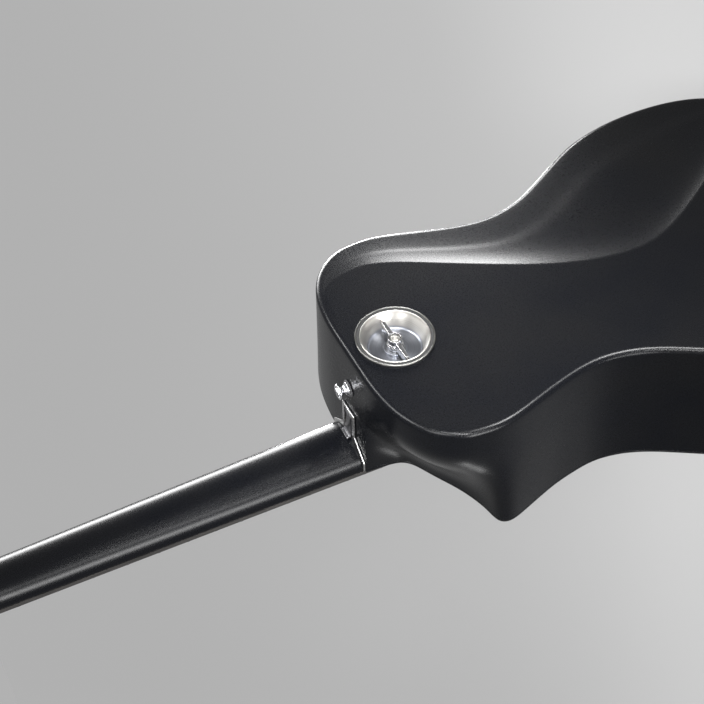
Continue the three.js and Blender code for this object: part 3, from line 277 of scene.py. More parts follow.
def speckled(name, low, high, rough_low, rough_high, scale, strength, specular=0.5):
    return grained(name, high, rough_high, low, high, (rough_low, rough_high), scale, strength,
                   specular=specular)


RIM_SHADE_TONE = (0.17, 0.168, 0.16)  # the cup's outer ring, painted darker than its wall: painted shade
RIM_FROM, RIM_TO = 31.4, 32.0  # radii between which the one tone passes into the other


def turned_steel(name, floor, lit_wall, rough, anisotropic):
    """Steel turned about the lock's axis: the marks run round it and spread the light along its radii. The
    floor is painted darker and bluer (painted shade), the wall lighter (painted light) and the outer ring
    darker (painted shade).
    """
    mat, tree, bsdf = shader(name, lit_wall, rough, metal=1.0, anisotropic=anisotropic)
    where = node(tree, "TexCoord").outputs["Object"]
    x, y, z = node(tree, "SeparateXYZ", {0: where}).outputs
    up = calculated(tree, "SUBTRACT", z, (LOCK_Z - HANGER_Z) * MM)
    spoke = node(tree, "CombineXYZ", {"X": x, "Z": up}).outputs[0]
    length = node(tree, "VectorMath", {0: spoke})
    length.operation = "LENGTH"
    radius = length.outputs["Value"]
    ring = node(tree, "CombineXYZ", {"X": radius, "Y": y}).outputs[0]
    marks = noise(tree, ring, 1800, 2)
    both, rim = node(tree, "Mix"), node(tree, "Mix")
    both.data_type = rim.data_type = "RGBA"
    # Below the wall's foot the cup takes the darker, bluer floor tone as painted shade, above it the lighter
    # wall tone as painted light
    feed(tree, both, {"Factor": between(tree, y, 0.0, 1.0, (FLOOR_Y + 1.0) * MM, (FLOOR_Y + 3.5) * MM),
                      6: colours(tree, marks, toned(floor, 0.88), toned(floor, 1.1)),
                      7: colours(tree, marks, toned(lit_wall, 0.88), toned(lit_wall, 1.1))})
    # Past these radii the outer ring takes the darker tone: painted shade
    feed(tree, rim, {"Factor": between(tree, radius, 0.0, 1.0, RIM_FROM * MM, RIM_TO * MM),
                     6: both.outputs[2]})
    rim.inputs[7].default_value = (*RIM_SHADE_TONE, 1)
    feed(tree, bsdf, {"Base Color": rim.outputs[2], "Tangent": spoke,
                      "Roughness": between(tree, marks, rough * 0.92, rough * 1.08)})
    bump(tree, bsdf, marks, 0.04, 0.0001)
    return mat


def wound(name):
    """Turns of bronze wire across the string, with painted shade darkening the grooves between them."""
    mat, tree, bsdf = shader(name, (0.62, 0.40, 0.20), 0.32, metal=1.0)
    wave = node(tree, "TexWave", {"Vector": coordinates(tree)}, Scale=700, Distortion=0.0)
    wave.bands_direction = "Z"
    turns = wave.outputs["Fac"]
    # The grooves between the turns take the darker colour: painted shade
    feed(tree, bsdf, {"Base Color": colours(tree, turns, (0.38, 0.22, 0.10), (0.70, 0.47, 0.25), 0.1, 0.6)})
    bump(tree, bsdf, turns, 0.5, 0.0002)
    return mat


LOOK = {name: maker(name, *values) for name, maker, *values in (
    ("satin_carbon", clouded, (0.0016, 0.0017, 0.0023), 0.27, (0.0012, 0.0014, 0.0021),
     (0.0020, 0.0021, 0.0025), (0.25, 0.31), 14, 900, 0.0, 0.10, 1500),
    ("black_composite", grained, (0.012, 0.011, 0.0105), 0.5, (0.008, 0.0075, 0.007),
     (0.019, 0.017, 0.016), (0.42, 0.58), 700, 0.15, 0.0002, 4, (1, 1, 0.06), 0.0, 0.4),
    ("block_wood", wood),
    # The cup's floor tone is painted shade and its wall tone painted light
    ("polished_steel", turned_steel, (0.20, 0.21, 0.235), (0.37, 0.36, 0.34), 0.34, 0.75),
    ("brushed_steel", brushed, (0.40, 0.40, 0.40), 0.28),
    ("spring_steel", brushed, (0.72, 0.72, 0.74), 0.2),
    ("brass", brushed, (0.68, 0.50, 0.22), 0.3),
    ("bronze_wire", wound),
    ("chrome", clouded, (0.78, 0.79, 0.81), 0.08, (0.74, 0.75, 0.78), (0.82, 0.82, 0.84),
     (0.05, 0.13), 60, 240, 1.0, 0.5),
    ("white_bone", speckled, (0.74, 0.70, 0.58), (0.86, 0.83, 0.74), 0.28, 0.42, 300, 0.08),
    ("black_pin", speckled, (0.012, 0.012, 0.013), (0.024, 0.024, 0.025), 0.1, 0.2, 400, 0.04),
    ("black_rubber", speckled, (0.008, 0.008, 0.008), (0.018, 0.018, 0.018), 0.6, 0.8, 900, 0.3, 0.12),
    ("black_felt", speckled, (0.008, 0.008, 0.009), (0.030, 0.030, 0.032), 0.85, 1.0, 2600, 0.9),
)}
BLACKENED = brushed("blackened_steel", (0.10, 0.10, 0.105), 0.34)
DARK_STEEL = turned_steel("key_steel", (0.22, 0.22, 0.225), (0.22, 0.22, 0.225), 0.24, 0.0)
for n, look in frame["nodes"].items():
    slot = next(s["material_slot"] for s in frame["record"]["subparts"] if s["node"] == n)
    look.data.materials.clear()
    look.data.materials.append(LOOK[slot])


# Mesh helpers. A shape is a list of points in millimetres and a list of faces


def smooth(t):
    t = np.clip(t, 0, 1)
    return t * t * (3 - 2 * t)


def mix(a, b, t):
    return a + (b - a) * t


def eased(table, at):
    """A smooth curve through table points, with no overshoot between them."""
    xs, ys = np.array(table, float).T
    h, d = np.diff(xs), np.diff(ys) / np.diff(xs)
    slope = np.zeros(len(xs))
    slope[0], slope[-1] = d[0], d[-1]
    for k in range(1, len(xs) - 1):
        if d[k - 1] * d[k] > 0:
            a, b = 2 * h[k] + h[k - 1], h[k] + 2 * h[k - 1]
            slope[k] = (a + b) / (a / d[k - 1] + b / d[k])
    at = np.clip(np.asarray(at, float), xs[0], xs[-1])
    k = np.clip(np.searchsorted(xs, at, side="right") - 1, 0, len(xs) - 2)
    t = (at - xs[k]) / h[k]
    return (ys[k] * (1 + 2 * t) * (1 - t) ** 2 + slope[k] * h[k] * t * (1 - t) ** 2
            + ys[k + 1] * t * t * (3 - 2 * t) + slope[k + 1] * h[k] * t * t * (t - 1))


def loft(rings):
    """Skins rings of equal count; the ends are closed by one face each."""
    count = len(rings[0])
    points = [tuple(p) for ring in rings for p in ring]
    faces = [(start + i, start + j, start + count + j, start + count + i)
             for start in range(0, len(points) - count, count)
             for i, j in zip(range(count), (*range(1, count), 0))]
    faces.append(tuple(reversed(range(count))))
    faces.append(tuple(range(len(points) - count, len(points))))
    return points, faces


def lathe(profile, sides, ring=False):
    """A profile of (radius, height) turned about y."""
    points, faces, rows = [], [], []
    for r, h in profile:
        start, count = len(points), sides if r else 1
        rows.append([start + s % count for s in range(sides)])
        points += [(r * cos(2 * pi * s / sides), h, r * sin(2 * pi * s / sides)) for s in range(count)]
    for one, two in list(zip(rows, rows[1:])) + ([(rows[-1], rows[0])] if ring else []):
        for s in range(sides):
            t = (s + 1) % sides
            face = tuple(dict.fromkeys((one[s], one[t], two[t], two[s])))
            if len(face) > 2:
                faces.append(face)
    return points, faces


def oval(cx, cy, rx, ry, start, end, count):
    """Points of an ellipse's arc, angles in radians."""
    return [(cx + rx * cos(a), cy + ry * sin(a)) for a in np.linspace(start, end, count)]


def arc(cx, cy, r, start, end, steps):
    """Points of an arc, angles in degrees."""
    return oval(cx, cy, r, r, radians(start), radians(end), steps + 1)


def tube(path, radius, sides):
    path = [Vector(p) for p in path]
    rings, normal = [], Vector((1, 0, 0))
    round_points = oval(0, 0, 1, 1, 0, 2 * pi, sides + 1)[:-1]
    for i, p in enumerate(path):
        tangent = (path[min(i + 1, len(path) - 1)] - path[max(i - 1, 0)]).normalized()
        normal = (normal - tangent * normal.dot(tangent)).normalized()
        side = tangent.cross(normal)
        rings.append([p + (normal * u + side * v) * radius for u, v in round_points])
    return loft(rings)


def moved(shape, x=0, y=0, z=0):
    return [(p[0] + x, p[1] + y, p[2] + z) for p in shape[0]], shape[1]


def turned(shape, axis, angle):
    m = Matrix.Rotation(radians(angle), 3, axis)
    return [tuple(m @ Vector(p)) for p in shape[0]], shape[1]


def on_head(shape):
    """From the headstock's own upright frame to its tilted place."""
    c, s = cos(TILT), sin(TILT)
    return [(x, y * c + z * s, -y * s + z * c + PIVOT_Z) for x, y, z in shape[0]], shape[1]


def in_lock(shape):
    return moved(shape, z=LOCK_Z)


def together(*shapes):
    points, faces = [], []
    for p, f in shapes:
        start = len(points)
        points += list(p)
        faces += [tuple(v + start for v in face) for face in f]
    return points, faces


def make(name, shape):
    mesh = bpy.data.meshes.new(name)
    points = [(x * MM, y * MM, (z - HANGER_Z) * MM) for x, y, z in shape[0]]
    mesh.from_pydata(points, [], shape[1])
    bm = bmesh.new()
    bm.from_mesh(mesh)
    bmesh.ops.recalc_face_normals(bm, faces=bm.faces)
    bm.to_mesh(mesh)
    bm.free()
    return added(name, mesh)


def cut(obj, *shapes, how="DIFFERENCE"):
    """Cuts closed shapes out of an object one by one, or joins them to it."""
    for shape in shapes:
        tool = make("t", shape)
        mod = obj.modifiers.new("cut", "BOOLEAN")
        mod.operation, mod.solver, mod.object = how, "EXACT", tool
        bpy.context.view_layer.update()
        evaluated = obj.evaluated_get(bpy.context.evaluated_depsgraph_get())
        mesh = bpy.data.meshes.new_from_object(evaluated)
        obj.modifiers.clear()
        obj.data = mesh
        bpy.data.objects.remove(tool)
    return obj


def bevelled(obj, width, segments=2, angle=30):
    bm = bmesh.new()
    bm.from_mesh(obj.data)
    bmesh.ops.remove_doubles(bm, verts=bm.verts, dist=1e-6)
    bmesh.ops.dissolve_limit(bm, angle_limit=radians(1), verts=bm.verts, edges=bm.edges)
    sharp = [e for e in bm.edges if len(e.link_faces) == 2 and e.calc_face_angle(0) > radians(angle)]
    bmesh.ops.bevel(bm, geom=sharp, offset=width * MM, segments=segments, profile=0.5, affect="EDGES",
                    clamp_overlap=True)
    bm.to_mesh(obj.data)
    bm.free()
    return obj


def finish(obj, body, slot, *nodes, sharp=32, mat=None):
    mesh = obj.data
    mesh.materials.clear()
    mesh.materials.append(mat or LOOK[slot])
    mesh.shade_smooth()
    mesh.set_sharp_from_angle(angle=radians(sharp))
    if nodes:
        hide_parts(*nodes)
    if body:
        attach(obj, body)
    return obj


def piece(name, shape, *said, less=(), **more):
    """Makes a shape less others, with the body, slot, nodes and options that finish takes."""
    return finish(cut(make(name, shape), *less), *said, **more)


def from_node(name, n, body, slot, width, segments=2, angle=30, mat=None):
    """A CAD node's shape with its edges rounded."""
    obj = bevelled(added(name, frame["nodes"][n].data.copy()), width, segments, angle)
    return finish(obj, body, slot, n, mat=mat)


def from_bmesh(name, bm):
    mesh = bpy.data.meshes.new(name)
    bm.to_mesh(mesh)
    bm.free()
    return added(name, mesh)


def rounded_rect(half_u, half_v, corner, steps=6):
    points = []
    for quarter, (su, sv) in enumerate(((1, 1), (-1, 1), (-1, -1), (1, -1))):
        points += arc(su * (half_u - corner), sv * (half_v - corner), corner, 90 * quarter,
                      90 * (quarter + 1), steps)
    return points


def box_shape(x0, x1, y0, y1, z0, z1):
    return loft([[(x0, y, z0), (x1, y, z0), (x1, y, z1), (x0, y, z1)] for y in (y0, y1)])


def rod_shape(r, y0, y1, sides):
    return lathe([(0, y0), (r, y0), (r, y1), (0, y1)], sides)


def softened(values, sigma, last="odd"):
    """Gaussian smoothing along a curve, which a turned (odd) copy extends at the start, and a turned
    one, a mirrored (even) one or one reflected in the body's axis at the end."""
    values = np.asarray(values, float)
    pad = int(sigma * 3) + 1
    ahead, behind = 2 * values[0] - values[1:pad + 1][::-1], values[-pad - 1:-1][::-1]
    if last == "odd":
        behind = 2 * values[-1] - behind
    elif last == "axis":
        behind = behind * np.array([1, -1])
    full = np.concatenate([ahead, values, behind])
    kernel = np.exp(-0.5 * (np.arange(-pad, pad + 1) / sigma) ** 2)
    kernel /= kernel.sum()
    if values.ndim == 1:
        return np.convolve(full, kernel, "valid")
    return np.stack([np.convolve(column, kernel, "valid") for column in full.T], 1)


# Body outline, from the same tables as the CAD but sampled finely


def through(points):
    pts = np.array(points, float)
    n = len(pts)
    out = []
    for i in range((n - 1) * STEPS + 1):
        t = i / STEPS
        k = min(int(t), n - 2)
        w = t - k
        p0, p1, p2, p3 = pts[max(k - 1, 0)], pts[k], pts[k + 1], pts[min(k + 2, n - 1)]
        v0, v1 = (p2 - p0) / 2, (p3 - p1) / 2
        out.append((2 * p1 - 2 * p2 + v0 + v1) * w ** 3
                   + (-3 * p1 + 3 * p2 - 2 * v0 - v1) * w * w + v0 * w + p1)
    return np.array(out)


def half_line(table, last="odd"):
    return softened(through([(-z / 1000 * LENGTH, x / 1000 * HALF) for z, x in table]), 3.0, last)


half_back = half_line(BACK, "axis")
half_cut = half_line(CUTAWAY)
half_crease = half_line(CREASE, "axis")
half_fade = np.interp(np.arange((len(FADE) - 1) * STEPS + 1) / STEPS, np.arange(len(FADE)), FADE)
half_fade = softened(half_fade, 5.0, "even")
# The whole outline has N points, from the heel down the treble side to point H - 1 at the tail and back
# up the bass side. The cutaway changes the first C
H = len(half_back)
N = 2 * H - 1
index = np.array([i if i < H else N - 1 - i for i in range(N)])
bass = np.arange(N) >= H
sign = np.where(bass, -1.0, 1.0)
back_line = half_back[index] * np.stack([np.ones(N), sign], 1)
after = back_line[np.minimum(np.arange(N) + 1, N - 1)]
before = back_line[np.maximum(np.arange(N) - 1, 0)]
along = after - before
along /= np.linalg.norm(along, axis=1)[:, None]
outward = np.stack([along[:, 1], -along[:, 0]], 1)
heel_fade = smooth(-back_line[:, 0] / (LENGTH * 0.08))
carved = np.zeros((N, 2))
C = len(half_cut)
carved[:C] = half_cut - (back_line[:C] + outward[:C] * DRAFT * heel_fade[:C, None])
carved[:C] *= (1 - smooth((np.arange(C) - (C - 1 - SCOOP_BLEND)) / SCOOP_BLEND))[:, None]
drop = np.where(bass, mix(*BEVEL_DROP, -back_line[:, 0] / LENGTH) * half_fade[index], 0.0)
flat_edge = back_line - outward * STRIP
flat_edge[bass] = (half_crease[index] * np.array([1, -1]))[bass]
flat_edge = np.concatenate([flat_edge[:1], softened(flat_edge, 2.0)[1:-1], flat_edge[-1:]])


def outline(y):
    y = np.broadcast_to(np.asarray(y, float), (N,))
    lean = DRAFT * (1 - y / DEPTH) * heel_fade
    return back_line + outward * lean[:, None] + carved * (1 - smooth(y / SCOOP_LOW))[:, None]


def bevel_fall():
    """How far down the bevel lies at each share of its width, for every point of the outline."""
    shares = np.linspace(0, 1, 101)[:, None]
    rim = outline(DEPTH - drop) - outward * EDGE
    width = np.linalg.norm(rim - flat_edge, axis=1)
    ridge_at = eased(RIDGE_AT, -back_line[:, 0])
    steep = np.exp(-(shares * width / BEVEL_REACH) ** 1.5)
    ridge = np.exp(-((shares - ridge_at) / RIDGE_WIDTH) ** 2)
    rest = drop / width - BEVEL_EASY - RIDGE_SLOPE * ridge.mean(0)
    slope = np.maximum(BEVEL_EASY + RIDGE_SLOPE * ridge + np.maximum(rest, 0) / steep.mean(0) * steep, 1e-4)
    fall = np.vstack([np.zeros(N), np.cumsum((slope[1:] + slope[:-1]) / 2, 0)])
    return fall / fall[-1]


def bevel_drop(across):
    at = min(across * 100, 99.999)
    k = int(at)
    return drop * mix(FALL[k], FALL[k + 1], at - k)


def body_ring(plan, y):
    y = np.broadcast_to(np.asarray(y, float), (N,))
    return np.stack([plan[:, 1], y, plan[:, 0]], 1)


FALL = bevel_fall()


def back_rings(inset, steps, edge_steps):
    """The flat back with its bevel and its rounded edge, from the flat to the wall."""
    d = np.gradient(flat_edge, axis=0)
    d /= np.linalg.norm(d, axis=1)[:, None] + 1e-9
    inner = flat_edge - np.stack([d[:, 1], -d[:, 0]], 1) * 1.2
    rings = [body_ring(inner, DEPTH - inset), body_ring(flat_edge, DEPTH - inset)]
    for k in range(1, steps + 1):
        across = (k / steps) ** 1.2
        y = DEPTH - bevel_drop(across)
        edge = outline(y) - outward * EDGE
        rings.append(body_ring(mix(flat_edge, edge, across), y - inset))
    for k in range(1, edge_steps + 1):
        a = pi / 2 * k / edge_steps
        y = DEPTH - drop - EDGE * (1 - cos(a))
        reach = EDGE * (1 - sin(a)) + inset * sin(a)
        rings.append(body_ring(outline(y) - outward * reach, y - inset * cos(a)))
    return rings


def wall_ring(share, inset, front):
    y = mix(DEPTH - drop - EDGE, front, share)
    return body_ring(outline(y) - outward * inset, y)


def shell_shape():
    front = TOP + SEAT
    rings = back_rings(0, 26, 8)
    rings += [wall_ring(k / 22, 0, front) for k in range(1, 23)]
    rings.append(body_ring(outline(front) - outward * mix(WALL, 7, heel_fade)[:, None], front))
    rings.append(body_ring(outline(front + 6) - outward * WALL, front + 6))
    rings += [wall_ring(s, WALL, front) for s in (0.8, 0.65, 0.5, 0.35, 0.2)]
    rings += back_rings(WALL, 6, 3)[::-1]
    return loft(rings)


def string_x(n, spread):
    return spread * (n / 5 - 0.5)


def pin_x(n):
    return string_x(n, PIN_SPREAD)


def pin_holes(y0, y1, sides):
    return together(*[moved(rod_shape(PIN_BORE, y0, y1, sides), pin_x(n), 0, PIN_Z) for n in range(6)])


def soundboard():
    line, r = outline(TOP), TOP_ROUND
    edge = [(r, TOP), (0.4, TOP - 0.12), (0, TOP - 0.5), (0, r)] + arc(r, r, -r, 22.5, 90, 3) + [(2 * r, 0)]
    return loft([body_ring(line - outward * inset, y) for inset, y in edge])


def soundhole_lining():
    outer, lip = HOLE_R - SEAT, HOLE_R + 3
    inner = outer - 2
    profile = arc(inner + 1, -SEAT, 1, 180, 270, 4) + arc(lip - 1, -SEAT, 1, 270, 350, 4)
    profile += [(lip, -SEAT), (outer, -SEAT), (outer, TOP), (inner, TOP)]
    return moved(lathe(profile, 128, ring=True), z=HOLE_Z)


# Openings: for the lock's cup, the neck block and the latch, then the block, the soundhole and the pins
piece("shell", shell_shape(), "body", "satin_carbon", "body_shell", sharp=24, less=(
    in_lock(rod_shape(CUP_MOUTH + CUP_WALL + SEAT, DEPTH - 10, DEPTH + 3, 96)),
    box_shape(-BLOCK_HALF, BLOCK_HALF, -3, 12.6, -5.2, 3), box_shape(-7.5, 7.5, 21.5, 50.5, -9.5, 3)))
piece("top", soundboard(), "body", "satin_carbon", "soundboard", sharp=24, less=(
    box_shape(-BLOCK_HALF, BLOCK_HALF, -4, 6, -62.3, 4), moved(rod_shape(HOLE_R, -4, 6, 96), z=HOLE_Z),
    pin_holes(-4, 6, 24)))
piece("soundhole_lining", soundhole_lining(), "body", "black_composite", "soundhole_ring")

# Lock: cup, gasket, washer, bolt, key and its screw


def cup():
    seat = DEPTH + SEAT
    top = seat + 1.6
    back = CUP_MOUTH + CUP_WALL
    profile = [(BOLT_BORE, FLOOR_Y - CUP_WALL), (CUP_FLOOR + 0.6, FLOOR_Y - CUP_WALL),
               (back, seat - CUP_WALL), (back, seat), (CUP_R, seat)]
    profile += arc(CUP_R - 0.35, top - 0.35, 0.35, 0, 80, 4) + [(CUP_R - 0.8, top - 0.02)]
    profile += arc(CUP_R - 0.85, top - 0.15, 0.12, 90, 180, 3)
    profile += [(CUP_R - 1.0, FLANGE_Y), (CUP_MOUTH + 1.0, FLANGE_Y)]
    profile += arc(CUP_MOUTH + 0.5, top - 0.5, 0.45, 20, 180, 8)
    for k in range(1, 9):
        profile.append((mix(CUP_MOUTH, CUP_FLOOR + 2.2, k / 8) - 0.5 * sin(pi * k / 8),
                        mix(top - 0.8, FLOOR_Y + 2.6, k / 8)))
    profile += arc(CUP_FLOOR - 0.1, FLOOR_Y + 2.0, 2.0, 340, 270, 6)
    profile += [(CUP_FLOOR - 1.2, FLOOR_Y), (10, FLOOR_Y), (BOLT_BORE, FLOOR_Y)]
    return in_lock(lathe(profile, 160, ring=True))


def gasket():
    profile = [(CUP_MOUTH + 1.2, 0), (CUP_R - 1.2, 0)] + arc(CUP_R - 1.4, 0.1, 0.2, 0, 90, 3)
    profile += [((CUP_MOUTH + CUP_R) / 2, 0.4)] + arc(CUP_MOUTH + 1.4, 0.1, 0.2, 90, 180, 3)
    return moved(lathe(profile, 160, ring=True), 0, FLANGE_Y + SEAT, LOCK_Z)


def washer():
    profile = [(BOLT_BORE, 0), (9.3, 0), (9.5, 0.2), (9.5, 0.8), (9.3, 1), (BOLT_BORE, 1)]
    return moved(lathe(profile, 96, ring=True), 0, FLOOR_Y + SEAT, LOCK_Z)


def bolt():
    crest, root, pitch = 4.0, 3.55, 1.5
    profile = [(0, 2.0), (3.3, 2.0)]
    y = 2.6
    while y < 40:
        profile += [(root, y), (root, y + 0.25), (crest, y + 0.7), (crest, y + 0.9), (root, y + 1.35)]
        y += pitch
    return in_lock(lathe(profile + [(crest, y + 0.5), (crest, BOLT_TOP), (0, BOLT_TOP)], 48))


def blade(side):
    """One wing of the key: a bar with rounded edges whose lower outer corner slopes away."""
    rings = []
    top, low = DEPTH - 2, DEPTH - 9.5
    for share in np.linspace(0, 1, 15):
        x = mix(5.6, KEY_REACH, share)
        end = smooth((share - 0.9) / 0.1)
        half = mix(2.6, 1.9, share) * (1 - 0.22 * end)
        base = mix(low, low + 4.2, smooth((share - 0.62) / 0.38))
        crown = top - 0.5 * end
        rings.append([(side * x, y + (crown + base) / 2, z * (1 - 0.16 * (y / (crown - base) * 2)))
                      for z, y in rounded_rect(half, (crown - base) / 2, 0.8, 4)])
    return in_lock(loft(rings))


def key():
    hub = [(BOLT_BORE, HUB_LOW)] + arc(6.5, HUB_LOW + 0.5, 0.5, 270, 360, 4)
    hub += arc(6.5, HUB_LOW + 4.0, 0.5, 0, 80, 4) + arc(6.6, HUB_TOP - 4.4, 0.6, 260, 190, 4)
    hub += arc(5.6, HUB_TOP - 0.5, 0.4, 0, 90, 4) + arc(5.1, HUB_TOP - 0.3, 0.2, 90, 180, 3)
    hub += [(4.9, BOLT_TOP), (BOLT_BORE, BOLT_TOP)]
    made = make("key", in_lock(lathe(hub, 96, ring=True)))
    cut(made, blade(1), blade(-1), how="UNION")
    finish(made, "key", "polished_steel", "lock_key", sharp=35, mat=DARK_STEEL)


def hub_screw():
    at = 0, BOLT_TOP + SEAT, LOCK_Z
    profile = [(0, 0), (4.4, 0), (4.55, 0.2), (4.55, 0.5), (3.5, 0.6), (3.3, 0.8)]
    profile += arc(2.6, 1.3, 0.7, 0, 90, 5) + [(1.9, 2), (0, 2)]
    piece("hub_screw", moved(lathe(profile, 64), *at), "key", "polished_steel", "key_screw", sharp=35,
          less=[moved(rod_shape(1.5, 0.9, 4, 6), *at)])


piece("cup", cup(), "body", "polished_steel", "key_cup", sharp=40)
piece("gasket", gasket(), "body", "black_rubber", "cup_gasket")
piece("washer", washer(), "washer", "polished_steel", "thrust_washer")
piece("bolt", bolt(), "key", "polished_steel", "lock_bolt")
key()
hub_screw()

# Heel: plate, latch, pin and spring

from_node("plate", "heel_plate", "body", "brushed_steel", 0.55, 3)
from_node("lever", "latch_lever", "latch", "brushed_steel", 0.3, 2, 25, BLACKENED)
pin = lathe([(0, -10.5), (1.0, -10.5), (1.3, -10.2), (1.3, 10.2), (1.0, 10.5), (0, 10.5)], 32)
piece("hinge_pin", moved(turned(pin, "Z", 90), y=40, z=-5.3), "body", "brushed_steel", "latch_pin")


def coil():
    low, high = -9.5 + SEAT + 0.3, -2.2 - 0.3 - SEAT
    around = arc(0, 46.2, 2.1, 0, 4 * 360, 80)
    return tube([(x, y, z) for (x, y), z in zip(around, np.linspace(low, high, 81))], 0.3, 8)


spring = piece("coil", coil(), "body", "spring_steel", "latch_spring")
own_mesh(spring)

# Strap buttons, with a cross recess in the screw head


def cross(reach, half, y0, y1):
    """The two bars of a cross recess."""
    return (box_shape(-reach, reach, y0, y1, -half, half), box_shape(-half, half, y0, y1, -reach, reach))


def button():
    foot = SEAT + 1.2 + SEAT
    steps = [k / 10 for k in range(1, 11)]
    rim, waist, head = 5.6, 3.3, 6.4
    profile = [(0, 0), (5.9, 0)] + arc(rim, 0.4, 0.4, 0, 80, 4)
    profile += [(mix(rim, waist, sin(pi / 2 * t)), mix(1.0, 3.6, t)) for t in steps]
    profile += [(mix(waist, head, 1 - cos(pi / 2 * t)), mix(4.2, 7.5, t)) for t in steps]
    profile += arc(head, 8.1, 0.6, -60, 90, 8) + [(5.4, 8.9), (4.5, 8.8), (4.2, 8.4), (3.8, 8.4), (3.75, 9)]
    profile += oval(0, 9, 3.75, 1.5, 0.2, 1.5, 8) + [(0, 10.5)]
    return cut(make("t2", moved(lathe(profile, 96), y=foot)), *cross(2.0, 0.45, foot + 8.8, foot + 11.5))


def felt():
    return moved(lathe([(0, 0), (7.3, 0), (7.6, 0.3), (7.6, 0.9), (7.3, 1.2), (0, 1.2)], 64), y=SEAT)


def place(obj, lean, y, z):
    """From upright about the part's origin to y and z in millimetres, leant by degrees about x."""
    shift = Matrix.Translation((0, y * MM, (z - HANGER_Z) * MM))
    home = Matrix.Translation((0, 0, HANGER_Z * MM))
    obj.data.transform(shift @ Matrix.Rotation(radians(lean), 4, "X") @ home)
    return obj


def to_head(obj, x=0, z=0):
    """Moves an object from the upright headstock frame, at x and z, to the tilted one."""
    obj.data.transform(Matrix.Translation((x * MM, 0, z * MM)))
    return place(obj, -TILT_DEGREES, 0, PIVOT_Z)


lean = degrees(atan(DRAFT / DEPTH))
tail_z = outline(60.0)[H - 1][0]
for name, turn, y, z, nodes in (("heel_button", 90, 79.5, 0, ("strap_button", "strap_felt")),
                                ("end_button", -90 + lean, 60, tail_z, ("tail_button", "tail_felt"))):
    made = place(button(), turn, y, z)
    made.name = name
    finish(made, "body", "chrome", nodes[0], sharp=35)
    pad = place(make(name + "_felt", felt()), turn, y, z)
    finish(pad, "body", "black_felt", nodes[1])

# Bridge, saddle and pins

# Along the bridge: share of its half length, of its length along the strings and of its height
STATIONS = [(0, 1, 1), (0.5, 1, 1), (0.66, 0.86, 0.9), (0.86, 0.74, 0.75), (0.97, 0.55, 0.55), (1, 0.3, 0.3)]


def bridge():
    table = np.array(STATIONS)
    thin, taper = 3.6, 32
    section = [(-1, 0), (-1, 0.5)] + oval(-0.58, 0.5, -0.42, 0.5, 0.15, pi / 2, 7)
    section += [(-x, y) for x, y in reversed(section)]
    rings = []
    ends = np.linspace(0.5, 1, 22)
    for s in np.concatenate([-ends[::-1], np.linspace(-0.45, 0.45, 8), ends]):
        long, high = eased(table[:, :2], abs(s)), eased(table[:, ::2], abs(s))
        full = mix(thin, BRIDGE_HIGH, smooth((BRIDGE_HALF - abs(s) * BRIDGE_HALF) / taper))
        rings.append([(s * BRIDGE_HALF, -SEAT - full * high * up, SADDLE_Z - 5 + across * BRIDGE_LONG * long)
                      for across, up in section])
    half, wide = SADDLE_HALF + SEAT, SADDLE_THICK + SEAT
    slot = box_shape(-half, half, -20, SEAT - (BRIDGE_HIGH - SLOT_DEEP), -wide, wide)
    piece("bridge_body", loft(rings), "body", "black_composite", "bridge", sharp=30,
          less=(moved(turned(slot, "Y", SLANT), z=SADDLE_Z), pin_holes(-20, 20, 32)))


def saddle():
    foot, thick = -(BRIDGE_HIGH - SLOT_DEEP) - SEAT, SADDLE_THICK
    rings = []
    for x in np.linspace(-SADDLE_HALF, SADDLE_HALF, 61):
        edge = -SADDLE_STRING + SEAT + STRING_R[0] + 0.9 * (x / SADDLE_HALF) ** 2 + 1.2
        crown = [(x, y, z) for z, y in oval(0, edge, -thick, -1.2, 0.2, pi - 0.2, 8)]
        rings.append([(x, foot, -thick), (x, edge, -thick)] + crown + [(x, edge, thick), (x, foot, thick)])
    return moved(turned(loft(rings), "Y", SLANT), z=SADDLE_Z)


def bridge_pin(n):
    at = pin_x(n), -BRIDGE_HIGH - SEAT * 2, PIN_Z
    profile = [(0, 14), (1.7, 14), (1.9, 13.6), (2.4, 0), (3.3, 0)] + arc(2.9, -0.7, 0.6, 20, -60, 4)
    profile += oval(0, -1.2, 3.0, -1.8, 0.1, pi / 2 - 0.02, 9) + [(0, -3.0)]
    half = STRING_R[0] + 0.3
    slot = moved(box_shape(-half, half, -0.6, 28, 1.5 - half, 7), *at)
    piece(f"pin_{n + 1}", moved(lathe(profile, 32), *at), "body", "black_pin", f"bridge_pin_{n + 1}",
          sharp=35, less=[slot])
    dot = lathe([(0, -2.6), (1.1, -2.6), (1.1, -2.98), (0.9, -3.06), (0, -3.08)], 24)
    piece(f"pin_dot_{n + 1}", moved(dot, *at), "body", "white_bone")


bridge()
piece("saddle_bar", saddle(), "body", "white_bone", "saddle", sharp=40)
for n in range(6):
    bridge_pin(n)

# Neck and headstock

# Along the headstock: share of its length and of its half width
HEAD_WIDE = [(0.12, 0.80), (0.2, 0.93), (0.35, 1), (0.6, 0.97), (0.85, 0.90), (0.955, 0.86), (1, 0.72)]
CHAMFER = 0.8
OVAL, BLUNT = 2.1, 7  # how square the section is at the neck and at the headstock
LOW_THICK, TOP_THICK, VOLUTE_THICK = 21.5, 19.0, 19.8
VOLUTE = 0.93  # share of the neck below the volute


def neck_width(z):
    return mix(NECK_WIDE, NUT_WIDE, z / NUT_Z)


def neck_section(z, half, front, thick, square):
    points = []
    for a in np.linspace(0, pi, 45):
        c, s = cos(a), sin(a)
        points.append((half * np.sign(c) * abs(c) ** (2 / square),
                       front + CHAMFER + (thick - CHAMFER) * abs(s) ** (2 / square), z))
    rounding = oval(half - CHAMFER, front + CHAMFER, CHAMFER, -CHAMFER, pi / 2, 0, 4)
    corner = [(x, y, z) for x, y in rounding[:-1]]
    return points + [(-x, y, z) for x, y, z in reversed(corner)] + corner


